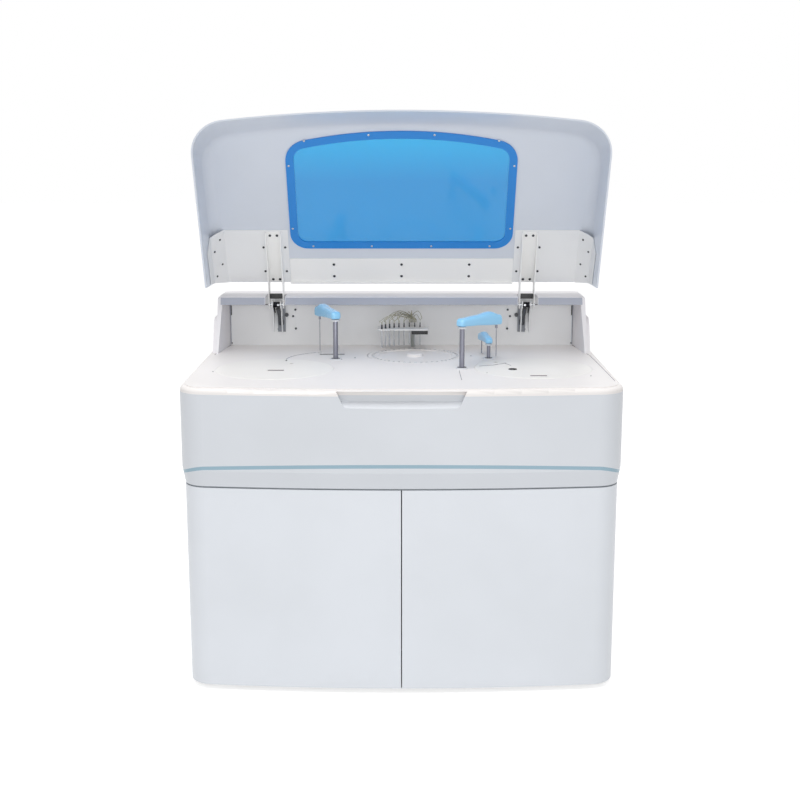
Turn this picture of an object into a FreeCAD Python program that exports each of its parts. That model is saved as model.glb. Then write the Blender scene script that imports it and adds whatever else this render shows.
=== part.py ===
import FreeCAD
import Part
import Sketcher
import math
import os
from FreeCAD import Placement, Rotation, Vector

# Floor-standing chemistry analyzer with its lid open and its doors shut.
# X points right, Y points to the rear, Z points up and the floor is Z = 0.

# Driving dimensions in millimetres and degrees
SIZES = {
    "body_width": 1216,
    "body_depth": 860,
    "front_bulge": 30,
    "corner_radius": 68,
    "rear_radius": 40,
    "deck_height": 868,
    "seam_height": 592,
    "skirt_height": 14,
    "base_inset": 8,
    "sheet": 2,
    "cover_wall": 4,
    "seam_gap": 4,
    "fit_gap": 0.5,
    "running_gap": 0.1,
    "bevel_top": 639,
    "accent_height": 653,
    "accent_width": 10,
    "accent_depth": 7,
    "accent_sag": 12,
    "accent_drop": 36,
    "scoop_top_width": 350,
    "scoop_low_width": 296,
    "scoop_top": 5,
    "scoop_drop": 46,
    "scoop_rise": 16,
    "scoop_depth": 24,
    "deck_rim": 16,
    "deck_plate": 5,
    "deck_border": 16,
    "deck_round": 11,
    "deck_step": 2,
    "frame_tube": 40,
    "frame_wall": 3,
    "floor_plate": 3,
    "rear_recess": 4,
    "shelf_plate": 4,
    "foot_radius": 20,
    "foot_thick": 8,
    "foot_stem": 6,
    "door_split": 3,
    "door_depth": 16,
    "door_edge": 100,
    "door_side_gap": 5.5,
    "pivot_pin": 3,
    "riser_foot": 576,
    "riser_lean": 26,
    "riser_height": 169,
    "riser_inset": 12,
    "riser_front_wall": 20,
    "riser_back_wall": 36,
    "riser_lip": 24,
    "shoulder_inset": 15,
    "shoulder_height": 105,
    "back_wall": 757,
    "hinge_reach": 706,
    "hinge_height": 138.5,
    "hinge_half": 400,
    "hinge_pin": 5,
    "hinge_lobe": 13,
    "notch_half": 31,
    "notch_rear": 745,
    "stand_ear_half": 15,
    "stand_sheet": 3,
    "stand_low": 39,
    "stand_top": 136,
    "stand_half": 34,
    "stand_shift": 20,
    "lid_open": 65,
    "lid_length": 562,
    "lid_rim_gap": 3,
    "lid_start": 105,
    "lid_front_height": 150,
    "lid_slope": 4.5,
    "lid_wall": 5,
    "lid_inset": 8,
    "lid_setback": 5,
    "lid_corner": 105,
    "lid_nose": 35,
    "lid_round": 40,
    "window_start": 8,
    "window_length": 412,
    "window_half": 347,
    "window_arch": 32,
    "window_corner": 55,
    "window_band": 24,
    "window_lap": 8,
    "window_frame_thick": 4,
    "pane_thick": 3,
    "plate_sheet": 2,
    "plate_start": 353,
    "plate_length": 196,
    "plate_inner": 355,
    "plate_turn": 40,
    "flange_drop": 108,
    "bar_start": 460,
    "arm_half": 24,
    "arm_sheet": 2.5,
    "arm_flange": 30,
    "screw_head": 3.4,
    "screw_shank": 1.9,
    "screw_high": 1.8,
    "probe_post": 7.5,
    "bush_flange": 18,
    "bush_sleeve": 13,
    "bush_thick": 4,
    "arm_width": 30,
    "sample_x": -200,
    "sample_y": 465,
    "sample_reach": 150,
    "sample_turn": 112,
    "sample_pick_turn": 212,
    "reagent_x": 176,
    "reagent_y": 305,
    "reagent_reach": 148.5,
    "reagent_turn": 44,
    "reagent_pick_turn": -7,
    "probe_arm_height": 124,
    "mixer_x": 265,
    "mixer_y": 474,
    "mixer_reach": 105,
    "mixer_turn": 98,
    "mixer_arm_height": 49,
    "disk_x": 42,
    "disk_y": 549,
    "disk_radius": 147,
    "disk_gap": 2,
    "hub_radius": 24,
    "cuvette_ring": 131,
    "cuvette_count": 48,
    "cuvette_width": 8,
    "cuvette_deep": 30,
    "rotor_radius": 155,
    "rotor_seat": 172,
    "rotor_top": 111,
    "pick_port": 6,
    "rotor_recess": 3,
    "left_rotor_x": -370,
    "left_rotor_y": 300,
    "right_rotor_x": 385,
    "right_rotor_y": 315,
    "shaft_radius": 10,
    "drive_half": 42,
    "well_radius": 7,
    "wash_x": 37,
    "wash_y": 724,
    "wash_post": 7,
    "wash_height": 66,
    "wash_nozzle": 1.3,
    "vent_count": 9,
    "fan_half": 60,
    "tank_width": 190,
    "tank_height": 330,
}

doc = FreeCAD.newDocument("chemistry_analyzer")
sheet = doc.addObject("Spreadsheet::Sheet", "Sizes")
for row, (alias, number) in enumerate(SIZES.items(), start=1):
    sheet.set(f"A{row}", alias.replace("_", " "))
    sheet.set(f"B{row}", str(number))
    sheet.setAlias(f"B{row}", alias)
doc.recompute()


class Dim:
    """A number together with the sheet formula that gives it."""

    def __init__(self, value, text):
        self.value = value
        self.text = text

    def __add__(self, other):
        other = dim(other)
        return Dim(self.value + other.value, f"({self.text} + {other.text})")

    def __sub__(self, other):
        other = dim(other)
        return Dim(self.value - other.value, f"({self.text} - {other.text})")

    def __mul__(self, other):
        other = dim(other)
        return Dim(self.value * other.value, f"({self.text} * {other.text})")

    def __truediv__(self, other):
        other = dim(other)
        return Dim(self.value / other.value, f"({self.text} / {other.text})")

    def __neg__(self):
        return Dim(-self.value, f"(0 - {self.text})")

    def __radd__(self, other):
        return dim(other) + self

    def __rsub__(self, other):
        return dim(other) - self

    def __rmul__(self, other):
        return dim(other) * self


def dim(number):
    """Make a Dim of a plain number, or pass a Dim through."""
    if isinstance(number, Dim):
        return number
    return Dim(float(number), f"({float(number)})")


def root(number):
    return Dim(math.sqrt(number.value), f"sqrt({number.text})")


def tan(number):
    return Dim(math.tan(math.radians(number.value)), f"tan({number.text})")


def sin(number):
    return Dim(math.sin(math.radians(number.value)), f"sin({number.text})")


def cos(number):
    return Dim(math.cos(math.radians(number.value)), f"cos({number.text})")


def at_least(number, floor):
    return Dim(max(number.value, floor), f"max({number.text}; {float(floor)})")


class Sheet:
    """Gives each cell of the sheet as a Dim, by its alias."""

    def __getattr__(self, alias):
        return Dim(float(getattr(sheet, alias)), f"Sizes.{alias}")


s = Sheet()

# Levels and lines that many pieces share
HALF = s.body_width / 2
REAR = s.body_depth / 2
FRONT = s.front_bulge - REAR
DECK = s.deck_height
SHELF_TOP = s.seam_height + s.seam_gap / 2
SHELF_LOW = SHELF_TOP - s.shelf_plate
FLOOR_TOP = s.skirt_height + s.floor_plate
HOUSING_TOP = DECK - s.deck_step - s.deck_rim
BORDER = DECK - s.deck_step
FRAME_HALF = HALF - s.base_inset - 22
FRAME_FRONT = FRONT + s.door_edge + 12
BACK = REAR - s.rear_recess
FRAME_REAR = BACK - s.sheet
REAR_OPENING = HALF - s.rear_radius - 14
PIVOT_Y = FRONT + s.hinge_reach
PIVOT_Z = DECK + s.hinge_height
BACK_WALL = FRONT + s.back_wall
SHOULDER_HALF = HALF - s.shoulder_inset
RISER_HALF = SHOULDER_HALF - s.riser_inset
RISER_FRONT_IN = SHOULDER_HALF - s.riser_front_wall
RISER_BACK_IN = SHOULDER_HALF - s.riser_back_wall
LID_TAN = tan(s.lid_slope)
LEAN_TAN = tan(s.riser_lean)
RIM = DECK + s.lid_rim_gap
EPS = 0.01

parts = {}


def keep(name, item):
    """Register a finished piece under the name of its file."""
    item.Label = name
    parts[name] = item
    return item


def move(item, x=0, y=0, z=0):
    """Tie the place of a piece to the sheet."""
    for axis, distance in zip("xyz", (x, y, z)):
        item.setExpression("Placement.Base." + axis, dim(distance).text)
    return item


def box(name, x, y, z):
    """Block between pairs of faces."""
    item = doc.addObject("Part::Box", name)
    for prop, (low, high) in (("Length", x), ("Width", y), ("Height", z)):
        item.setExpression(prop, (dim(high) - low).text)
    return move(item, x[0], y[0], z[0])


AXIS_TURN = {
    "x": Rotation(Vector(0, 1, 0), 90),
    "y": Rotation(Vector(1, 0, 0), -90),
    "z": Rotation(),
}


def rod(name, start, radius, length, axis="z"):
    """Round bar from a start point along an axis."""
    item = doc.addObject("Part::Cylinder", name)
    item.setExpression("Radius", dim(radius).text)
    item.setExpression("Height", dim(length).text)
    item.Placement = Placement(Vector(), AXIS_TURN[axis])
    return move(item, *start)


def fuse(name, items):
    item = doc.addObject("Part::MultiFuse", name)
    item.Shapes = items
    return item


def group(name, items):
    """Separate solids that share one node."""
    item = doc.addObject("Part::Compound", name)
    item.Links = items
    return item


def cut(name, base, tools):
    """Take one tool or a list of tools out of a base."""
    item = doc.addObject("Part::Cut", name)
    item.Base = base
    item.Tool = fuse(name + "_tools", tools) if len(tools) > 1 else tools[0]
    return item


def common(name, first, second):
    item = doc.addObject("Part::Common", name)
    item.Base = first
    item.Tool = second
    return item


def round_edges(name, base, radius, wanted):
    """Round the edges of a base that a test picks out."""
    doc.recompute()
    item = doc.addObject("Part::Fillet", name)
    item.Base = base
    edges = base.Shape.Edges
    item.Edges = [(i, radius, radius) for i, edge in enumerate(edges, start=1) if wanted(edge)]
    return item


def bevel_edges(name, base, across, along, wanted):
    """Bevel the edges of a base that a test picks out, by a distance on each face."""
    doc.recompute()
    item = doc.addObject("Part::Chamfer", name)
    item.Base = base
    edges = base.Shape.Edges
    item.Edges = [(i, across, along) for i, edge in enumerate(edges, start=1) if wanted(edge)]
    return item


def arc_between(start, end, radius):
    """Arc of a radius between two points, turning left when the radius is positive."""
    chord = end - start
    half = chord.Length / 2
    reach = math.sqrt(max(radius * radius - half * half, 0.0))
    left = Vector(-chord.y, chord.x, 0).normalize()
    centre = (start + end) / 2 + left * (reach if radius > 0 else -reach)
    first, last = (start, end) if radius > 0 else (end, start)
    angles = [math.atan2(p.y - centre.y, p.x - centre.x) for p in (first, last)]
    return Part.ArcOfCircle(Part.Circle(centre, Vector(0, 0, 1), abs(radius)), *angles)


def draw_loop(sketch, points, label):
    """Draw a closed outline. A point is (x, y), or (x, y, radius) at the end of an arc."""
    count = len(points)
    spots = [Vector(dim(p[0]).value, dim(p[1]).value, 0) for p in points]
    base = sketch.GeometryCount
    ends = []
    for i, point in enumerate(points):
        start, end = spots[i - 1], spots[i]
        if len(point) == 2:
            sketch.addGeometry(Part.LineSegment(start, end))
            ends.append((1, 2))
            continue
        radius = dim(point[2])
        sketch.addGeometry(arc_between(start, end, radius.value))
        ends.append((1, 2) if radius.value > 0 else (2, 1))
    rules = []
    for i in range(count):
        following = (i + 1) % count
        join = (base + i, ends[i][1], base + following, ends[following][0])
        sketch.addConstraint(Sketcher.Constraint("Coincident", *join))
    for i, point in enumerate(points):
        for kind, number in (("DistanceX", dim(point[0])), ("DistanceY", dim(point[1]))):
            rule = Sketcher.Constraint(kind, -1, 1, base + i, ends[i][1], number.value)
            rules.append((sketch.addConstraint(rule), f"{label}{kind[-1]}{i}", number))
        if len(point) == 3:
            size = dim(point[2])
            size = size if size.value > 0 else -size
            rule = Sketcher.Constraint("Radius", base + i, size.value)
            rules.append((sketch.addConstraint(rule), f"{label}R{i}", size))
    for index, name, number in rules:
        sketch.renameConstraint(index, name)
        sketch.setExpression("Constraints." + name, number.text)


def draw_circle(sketch, x, y, radius, label):
    """Draw a circle held by its centre and radius."""
    base = sketch.GeometryCount
    centre = Vector(dim(x).value, dim(y).value, 0)
    sketch.addGeometry(Part.Circle(centre, Vector(0, 0, 1), dim(radius).value))
    rules = [
        (Sketcher.Constraint("DistanceX", -1, 1, base, 3, centre.x), "X", dim(x)),
        (Sketcher.Constraint("DistanceY", -1, 1, base, 3, centre.y), "Y", dim(y)),
        (Sketcher.Constraint("Radius", base, dim(radius).value), "R", dim(radius)),
    ]
    for rule, letter, number in rules:
        index = sketch.addConstraint(rule)
        sketch.renameConstraint(index, f"{label}{letter}")
        sketch.setExpression(f"Constraints.{label}{letter}", number.text)


def new_sketch(body, plane, name, offset):
    """Sketch on one of the body's own planes, shifted along its normal."""
    sketch = body.newObject("Sketcher::SketchObject", name)
    origin = [item for item in body.Origin.OriginFeatures if item.Role == plane]
    sketch.AttachmentSupport = [(origin[0], "")]
    sketch.MapMode = "FlatFace"
    sketch.setExpression("AttachmentOffset.Base.z", dim(offset).text)
    return sketch


def prism(name, plane, outline, low, high, holes=()):
    """Body padded from an outline between two levels along the plane's normal."""
    low, high = dim(low), dim(high)
    body = doc.addObject("PartDesign::Body", name)
    offset = -high if plane == "XZ_Plane" else low
    sketch = new_sketch(body, plane, name + "_outline", offset)
    draw_loop(sketch, outline, "p")
    for number, hole in enumerate(holes):
        if isinstance(hole, tuple):
            draw_circle(sketch, *hole, f"c{number}")
        else:
            draw_loop(sketch, hole, f"h{number}")
    pad = body.newObject("PartDesign::Pad", name + "_pad")
    pad.Profile = sketch
    pad.setExpression("Length", (high - low).text)
    return body


def turned(name, profile, x=0, y=0):
    """Body turned about a vertical line from a profile of (radius, height) points."""
    body = doc.addObject("PartDesign::Body", name)
    sketch = new_sketch(body, "XZ_Plane", name + "_profile", 0)
    draw_loop(sketch, profile, "p")
    turn = body.newObject("PartDesign::Revolution", name + "_turn")
    turn.Profile = sketch
    turn.ReferenceAxis = (sketch, ["V_Axis"])
    turn.Angle = 360
    return move(body, x, y)


def plan(inset, rear_inset=0, corner=None, setback=0):
    """Outline of the body from above, with a bulged front and rounded corners."""
    inset = dim(inset)
    half = HALF - inset
    corner = (corner or s.corner_radius) - inset
    rear_corner = at_least(s.rear_radius - inset, 3)
    front = FRONT + inset + setback
    rear = REAR - rear_inset
    flat = half - corner
    bow = (flat * flat + s.front_bulge * s.front_bulge) / (s.front_bulge * 2)
    lean = flat / bow
    nose = corner / (1 - lean)
    side = front + nose * root(1 - lean * lean)
    return [
        (half, rear - rear_corner),
        (half - rear_corner, rear, rear_corner),
        (-half + rear_corner, rear),
        (-half, rear - rear_corner, rear_corner),
        (-half, side),
        (-flat, front, nose),
        (flat, front, bow),
        (half, side, nose),
    ]


def rounded(x, y, radius):
    """Rectangle with rounded corners."""
    (left, right), (low, high) = [[dim(v) for v in pair] for pair in (x, y)]
    return [
        (right, high - radius),
        (right - radius, high, radius),
        (left + radius, high),
        (left, high - radius, radius),
        (left, low + radius),
        (left + radius, low, radius),
        (right - radius, low),
        (right, low + radius, radius),
    ]


def skin(name, inset, thick, low, high, rear=(0, 0)):
    """Band that follows the body outline, between two levels and two rear insets."""
    outer = prism(name + "_out", "XY_Plane", plan(inset, rear[0]), low, high)
    inner = prism(name + "_in", "XY_Plane", plan(inset + thick, rear[1]), low - 1, high + 1)
    return cut(name, outer, [inner])


def pan(name, x, y, low, high, depth):
    """Folded sheet cover: a skin with returned edges, cut from the body outline."""
    inset, edge = s.base_inset, s.sheet
    block = common(name + "_block",
                   skin(name + "_ring", inset, depth + edge, low, high, (0, edge)),
                   box(name + "_zone", x, y, (low, high)))
    hollow = common(
        name + "_hollow",
        skin(name + "_core", inset + edge, depth + 10, low + edge, high - edge, (edge, 60)),
        box(name + "_reach", (x[0] + edge, x[1] - edge), (y[0] + edge, y[1] - edge),
            (low + edge, high - edge)))
    return cut(name + "_pan", block, [hollow])


# Base: floor plate, welded frame, feet and the shelf over the cabinet

def make_base():
    floor = prism("floor_sheet", "XY_Plane", plan(s.base_inset + 3, 4), s.skirt_height, FLOOR_TOP)
    keep("floor_plate", floor)
    tube = s.frame_tube
    low, high = FLOOR_TOP, SHELF_LOW
    rails = []
    for side, x in (("left", (-FRAME_HALF, -FRAME_HALF + tube)),
                    ("right", (FRAME_HALF - tube, FRAME_HALF))):
        rails.append(box(f"{side}_front_post", x, (FRAME_FRONT, FRAME_FRONT + tube), (low, high)))
        rails.append(box(f"{side}_rear_post", x, (FRAME_REAR - tube, FRAME_REAR), (low, high)))
        for level, z in (("low", (low, low + tube)), ("top", (high - tube, high))):
            rails.append(box(f"{side}_{level}_rail", x, (FRAME_FRONT, FRAME_REAR), z))
    across = (-FRAME_HALF, FRAME_HALF)
    for place, y in (("front", (FRAME_FRONT, FRAME_FRONT + tube)),
                     ("rear", (FRAME_REAR - tube, FRAME_REAR))):
        for level, z in (("low", (low, low + tube)), ("top", (high - tube, high))):
            rails.append(box(f"{place}_{level}_beam", across, y, z))
    keep("base_frame", fuse("frame_weldment", rails))
    shelf = prism("shelf_sheet", "XY_Plane", plan(s.base_inset + 4, REAR - FRAME_REAR), SHELF_LOW,
                  SHELF_TOP)
    keep("mid_shelf", shelf)
    feet = []
    for i, (x, y) in enumerate(foot_spots()):
        pad = rod(f"foot_pad_{i}", (x, y, 0), s.foot_radius, s.foot_thick)
        stem = rod(f"foot_stem_{i}", (x, y, s.foot_thick / 2), s.foot_stem,
                   s.skirt_height - s.foot_thick / 2)
        feet.append(fuse(f"foot_{i}", [pad, stem]))
    keep("levelling_feet", group("feet", feet))


def foot_spots():
    """Centres of the feet, under the four frame posts."""
    half_tube = s.frame_tube / 2
    x = FRAME_HALF - half_tube
    return [(sx * x, y) for sx in (-1, 1) for y in (FRAME_FRONT + half_tube,
                                                    FRAME_REAR - half_tube)]


# Cabinet skins: doors, side panels and rear panel

def make_doors():
    gap = s.door_split / 2
    low, high = FLOOR_TOP + 0.6, SHELF_LOW - 0.6
    side = HALF - s.base_inset
    edge = FRONT + s.door_edge
    pivot_x = side - 8
    pivot_y = edge - 6
    pins = []
    for name, sign in (("left", -1), ("right", 1)):
        near, far = sign * gap, sign * (HALF + 1)
        x = (near, far) if sign > 0 else (far, near)
        shell = pan(f"{name}_door_sheet", x, (FRONT - s.front_bulge - 1, edge), low, high,
                    s.door_depth)
        lugs = []
        for level, (bottom, top) in (("low", (low + s.sheet / 2, low + 14)),
                                     ("top", (high - 14, high - s.sheet / 2))):
            lug_x = sorted([sign * (pivot_x - 8), sign * (pivot_x + 7)], key=lambda v: v.value)
            lugs.append(box(f"{name}_{level}_lug", lug_x, (pivot_y - 7, pivot_y + 5), (bottom, top)))
        body = fuse(f"{name}_door_body", [shell] + lugs)
        bore = rod(f"{name}_door_bore", (sign * pivot_x, pivot_y, low - 1),
                   s.pivot_pin + s.running_gap / 2, high - low + 2)
        keep(f"{name}_door", cut(f"{name}_door_cut", body, [bore]))
        for level, start, length in (("low", FLOOR_TOP, low - FLOOR_TOP + 12),
                                     ("top", high - 12, SHELF_LOW - high + 12)):
            pins.append(rod(f"{name}_{level}_pin", (sign * pivot_x, pivot_y, start),
                            s.pivot_pin, length))
    keep("door_pivots", group("pivots", pins))


def make_side_panels():
    """Side sheets that wrap the rear corner, with edges returned to the frame."""
    low, high = FLOOR_TOP, SHELF_LOW
    front = FRONT + s.door_edge + s.door_side_gap
    out = HALF - s.base_inset
    bend = s.rear_radius - s.base_inset
    thick = s.sheet
    for name, sign in (("left", -1), ("right", 1)):
        outline = [
            (out, front), (out, REAR - bend), (out - bend, REAR, bend), (REAR_OPENING, REAR),
            (REAR_OPENING, REAR - thick), (out - bend, REAR - thick),
            (out - thick, REAR - bend, thick - bend), (out - thick, front),
        ]
        points = [(point[0] * sign, point[1]) + tuple(r * sign for r in point[2:])
                  for point in outline]
        pieces = [prism(f"{name}_side_sheet", "XY_Plane", points, low, high)]
        x = (out - thick, FRAME_HALF) if sign < 0 else (FRAME_HALF, out - thick)
        x = tuple(v * sign for v in x)
        rear = REAR - bend - 2
        for edge, y, z in (("front", (front, front + thick), (low, high)),
                           ("low", (front, rear), (low, low + thick)),
                           ("top", (front, rear), (high - thick, high))):
            pieces.append(box(f"{name}_side_{edge}_return", x, y, z))
        keep(f"{name}_side_panel", fuse(f"{name}_side_weldment", pieces))


def make_rear_panel():
    """Flat rear sheet with rows of vents, a fan grille, and the inlet's cutout."""
    half = REAR_OPENING - s.fit_gap
    body = prism("rear_sheet", "XZ_Plane",
                 rounded((-half, half), (FLOOR_TOP, HOUSING_TOP), dim(3)),
                 BACK - s.sheet, BACK)
    vent = new_sketch(body, "XZ_Plane", "vent_slot", -BACK - 1)
    draw_loop(vent, rounded((-420, -240), (dim(150), dim(158)), dim(3.5)), "v")
    slot = body.newObject("PartDesign::Pocket", "vent_pocket")
    slot.Profile = vent
    slot.Length = 5
    slot.Reversed = True
    row = body.newObject("PartDesign::LinearPattern", "vent_row")
    row.Originals = [slot]
    row.Direction = (vent, ["V_Axis"])
    row.Length = 176
    row.setExpression("Occurrences", "Sizes.vent_count")
    body.Tip = row
    tools = [
        rod("fan_hole", (300, BACK - 10, 430), s.fan_half - 6, 20, "y"),
        box("inlet_hole", (-330, -270), (BACK - 10, BACK + 10), (480, 530)),
    ]
    bars = []
    for i in range(7):
        z = 430 - 54 + 18 * i
        bars.append(box(f"grille_bar_{i}", (300 - s.fan_half + 2, 300 + s.fan_half - 2),
                        (BACK - s.sheet, BACK), (z - 1.5, z + 1.5)))
    panel = cut("rear_cut", body, tools)
    keep("rear_panel", fuse("rear_panel_weldment", [panel] + bars))


# Upper housing with its chamfer, accent strip and finger scoop

def loft(name, lower, low, upper, high):
    """Body lofted between two outlines."""
    body = doc.addObject("PartDesign::Body", name)
    first = new_sketch(body, "XY_Plane", name + "_lower", low)
    draw_loop(first, lower, "a")
    last = new_sketch(body, "XY_Plane", name + "_upper", high)
    draw_loop(last, upper, "b")
    skin_loft = body.newObject("PartDesign::AdditiveLoft", name + "_loft")
    skin_loft.Profile = first
    skin_loft.Sections = [last]
    skin_loft.Ruled = True
    return body


def housing_solid(name):
    """Housing block with the bevel that runs round its foot."""
    block = prism(name + "_block", "XY_Plane", plan(0), SHELF_TOP, HOUSING_TOP)

    def foot_edge(edge):
        bounds = edge.BoundBox
        return bounds.ZMax < SHELF_TOP.value + 1 and bounds.YMin < REAR.value - 1

    rise = s.bevel_top - SHELF_TOP
    return bevel_edges(name, block, rise.value, s.base_inset.value, foot_edge)


def accent_band(name):
    """Band that sags across the front and drops round the corners, as deep as the strip."""
    level, width = s.accent_height, s.accent_width
    bend = HALF - s.corner_radius
    bow = (bend * bend + s.accent_sag * s.accent_sag) / (s.accent_sag * 2)
    knee, low = level - s.accent_sag, level - s.accent_drop
    end = HALF + 5
    banner = prism(name + "_banner", "XZ_Plane", [
        (-end, low), (-HALF, low), (-bend, knee, -150), (bend, knee, -bow), (HALF, low, -150),
        (end, low), (end, low + width), (HALF, low + width), (bend, knee + width, 150),
        (-bend, knee + width, bow), (-HALF, low + width, 150), (-end, low + width),
    ], FRONT - s.front_bulge - 5, REAR + 5)
    loop = common(name + "_loop", housing_solid(name + "_outer"), banner)
    core = prism(name + "_core", "XY_Plane", plan(s.accent_depth, s.accent_depth),
                 low - 5, level + width + 5)
    rear = box(name + "_rear", (-REAR_OPENING, REAR_OPENING), (REAR - 20, REAR + 5),
               (SHELF_TOP - 1, HOUSING_TOP + 1))
    return cut(name, loop, [core, rear])


def scoop_tool(name):
    """Finger scoop: a wide mouth with rounded lower corners and a ledge that rises inwards."""
    apex = FRONT - s.front_bulge
    top_half = s.scoop_top_width / 2
    low_half = s.scoop_low_width / 2
    top = DECK - s.scoop_top
    low = top - s.scoop_drop
    mouth = prism(name + "_mouth", "XZ_Plane", [
        (-top_half, top),
        (-low_half - 12, low + 12),
        (-low_half + 8, low, 24),
        (low_half - 8, low),
        (low_half + 12, low + 12, 24),
        (top_half, top),
    ], apex - 5, apex + s.scoop_depth + 5)
    profile = prism(name + "_profile", "YZ_Plane", [
        (apex - 6, low - 4), (apex, low), (apex + s.scoop_depth, low + s.scoop_rise),
        (apex + s.scoop_depth, top + 1), (apex - 6, top + 1),
    ], -top_half - 1, top_half + 1)
    return common(name, mouth, profile)


def make_housing():
    wall = s.cover_wall
    inside = s.base_inset + wall
    ledge = s.accent_height + s.accent_width + wall
    hollow_low = prism("housing_hollow_low", "XY_Plane", plan(inside, inside), SHELF_TOP - 1,
                       ledge + EPS)
    hollow = prism("housing_hollow", "XY_Plane", plan(wall, wall), ledge, HOUSING_TOP + 1)
    shell = cut("housing_shell", housing_solid("housing"), [hollow_low, hollow])
    apex = FRONT - s.front_bulge
    half = s.scoop_top_width / 2 + wall
    low = DECK - s.scoop_top - s.scoop_drop
    block = common("scoop_body",
                   box("scoop_block", (-half, half), (apex + 2, apex + s.scoop_depth + wall),
                       (low - wall, HOUSING_TOP)),
                   prism("scoop_limit", "XY_Plane", plan(wall / 2, wall), low - 2 * wall,
                         HOUSING_TOP))
    opening = box("housing_rear_opening", (-REAR_OPENING, REAR_OPENING), (REAR - 20, REAR + 5),
                  (SHELF_TOP - 1, HOUSING_TOP + 1))
    solid = fuse("housing_body", [shell, block])
    keep("upper_housing", cut("housing_cut", solid,
                              [scoop_tool("scoop"), accent_band("accent_groove"), opening]))
    keep("accent_strip", accent_band("accent_fill"))


# Deck cover with the openings for disks, bushes and the wash post

def arm_spots():
    return (
        ("sample", s.sample_x, FRONT + s.sample_y),
        ("reagent", s.reagent_x, FRONT + s.reagent_y),
        ("mixer", s.mixer_x, FRONT + s.mixer_y),
    )


def probe_spot(name):
    """Where the probe or paddle of an arm hangs."""
    x, y = {key: (px, py) for key, px, py in arm_spots()}[name]
    reach, turn = {
        "sample": (s.sample_reach, s.sample_turn),
        "reagent": (s.reagent_reach, s.reagent_turn),
        "mixer": (s.mixer_reach, s.mixer_turn),
    }[name]
    return x + reach * cos(turn), y + reach * sin(turn)


def pick_spot(name):
    """Where the probe of an arm dips into its rotor."""
    x, y = {key: (px, py) for key, px, py in arm_spots()}[name]
    reach, turn = {
        "sample": (s.sample_reach, s.sample_pick_turn),
        "reagent": (s.reagent_reach, s.reagent_pick_turn),
    }[name]
    return x + reach * cos(turn), y + reach * sin(turn)


def rotor_spots():
    return (
        ("sample", s.left_rotor_x, FRONT + s.left_rotor_y),
        ("reagent", s.right_rotor_x, FRONT + s.right_rotor_y),
    )


def make_deck():
    body = prism("deck_sheet", "XY_Plane", plan(1, 1), HOUSING_TOP, BORDER)
    raised = prism("deck_raised", "XY_Plane", plan(s.deck_border, s.deck_border), BORDER - EPS, DECK)
    hollow = prism("deck_hollow", "XY_Plane", plan(s.deck_border - 2, 8), HOUSING_TOP - 1,
                   DECK - s.deck_plate)
    apex = FRONT - s.front_bulge
    half = s.scoop_top_width / 2 + s.cover_wall
    backing = box("deck_backing", (-half, half), (apex, apex + s.scoop_depth + s.cover_wall),
                  (HOUSING_TOP - 2, DECK))
    tools = [cut("deck_under", hollow, [backing])]
    disk_x, disk_y = s.disk_x, FRONT + s.disk_y
    tools.append(rod("disk_hole", (disk_x, disk_y, HOUSING_TOP), s.disk_radius + s.disk_gap, 40))
    for name, x, y in rotor_spots():
        tools.append(rod(name + "_rotor_hole", (x, y, HOUSING_TOP), s.rotor_seat - 7, 40))
        tools.append(rod(name + "_cover_seat", (x, y, DECK - s.rotor_recess), s.rotor_seat, 40))
    for name, x, y in arm_spots():
        tools.append(rod(name + "_bush_hole", (x, y, HOUSING_TOP),
                         s.bush_sleeve + s.running_gap / 2, 40))
    for name in ("sample", "mixer"):
        x, y = probe_spot(name)
        tools.append(rod(name + "_wash_well", (x, y, HOUSING_TOP), s.well_radius, 40))
    tools.append(rod("wash_hole", (s.wash_x, FRONT + s.wash_y, HOUSING_TOP),
                     s.wash_post + s.fit_gap, 40))
    solid = fuse("deck_solid", [body, raised])

    def outer_top(edge):
        box_ = edge.BoundBox
        level = abs(box_.ZMax - BORDER.value) < 0.02 and abs(box_.ZMin - BORDER.value) < 0.02
        return level and not inside_border(box_)

    edged = round_edges("deck_edged", solid, s.deck_round.value, outer_top)
    keep("deck_cover", cut("deck_cut", edged, tools + [scoop_tool("deck_scoop")]))


def inside_border(bounds):
    """Whether an edge lies on the raised part of the deck."""
    limit = HALF.value - s.deck_border.value + 0.5
    front = FRONT.value - s.front_bulge.value + s.deck_border.value - 0.5
    across = max(abs(bounds.XMin), abs(bounds.XMax)) < limit
    return across and bounds.YMin > front and bounds.YMax < REAR.value - s.deck_border.value + 0.5


# Riser behind the deck, its back panel and the hinge stands

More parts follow.
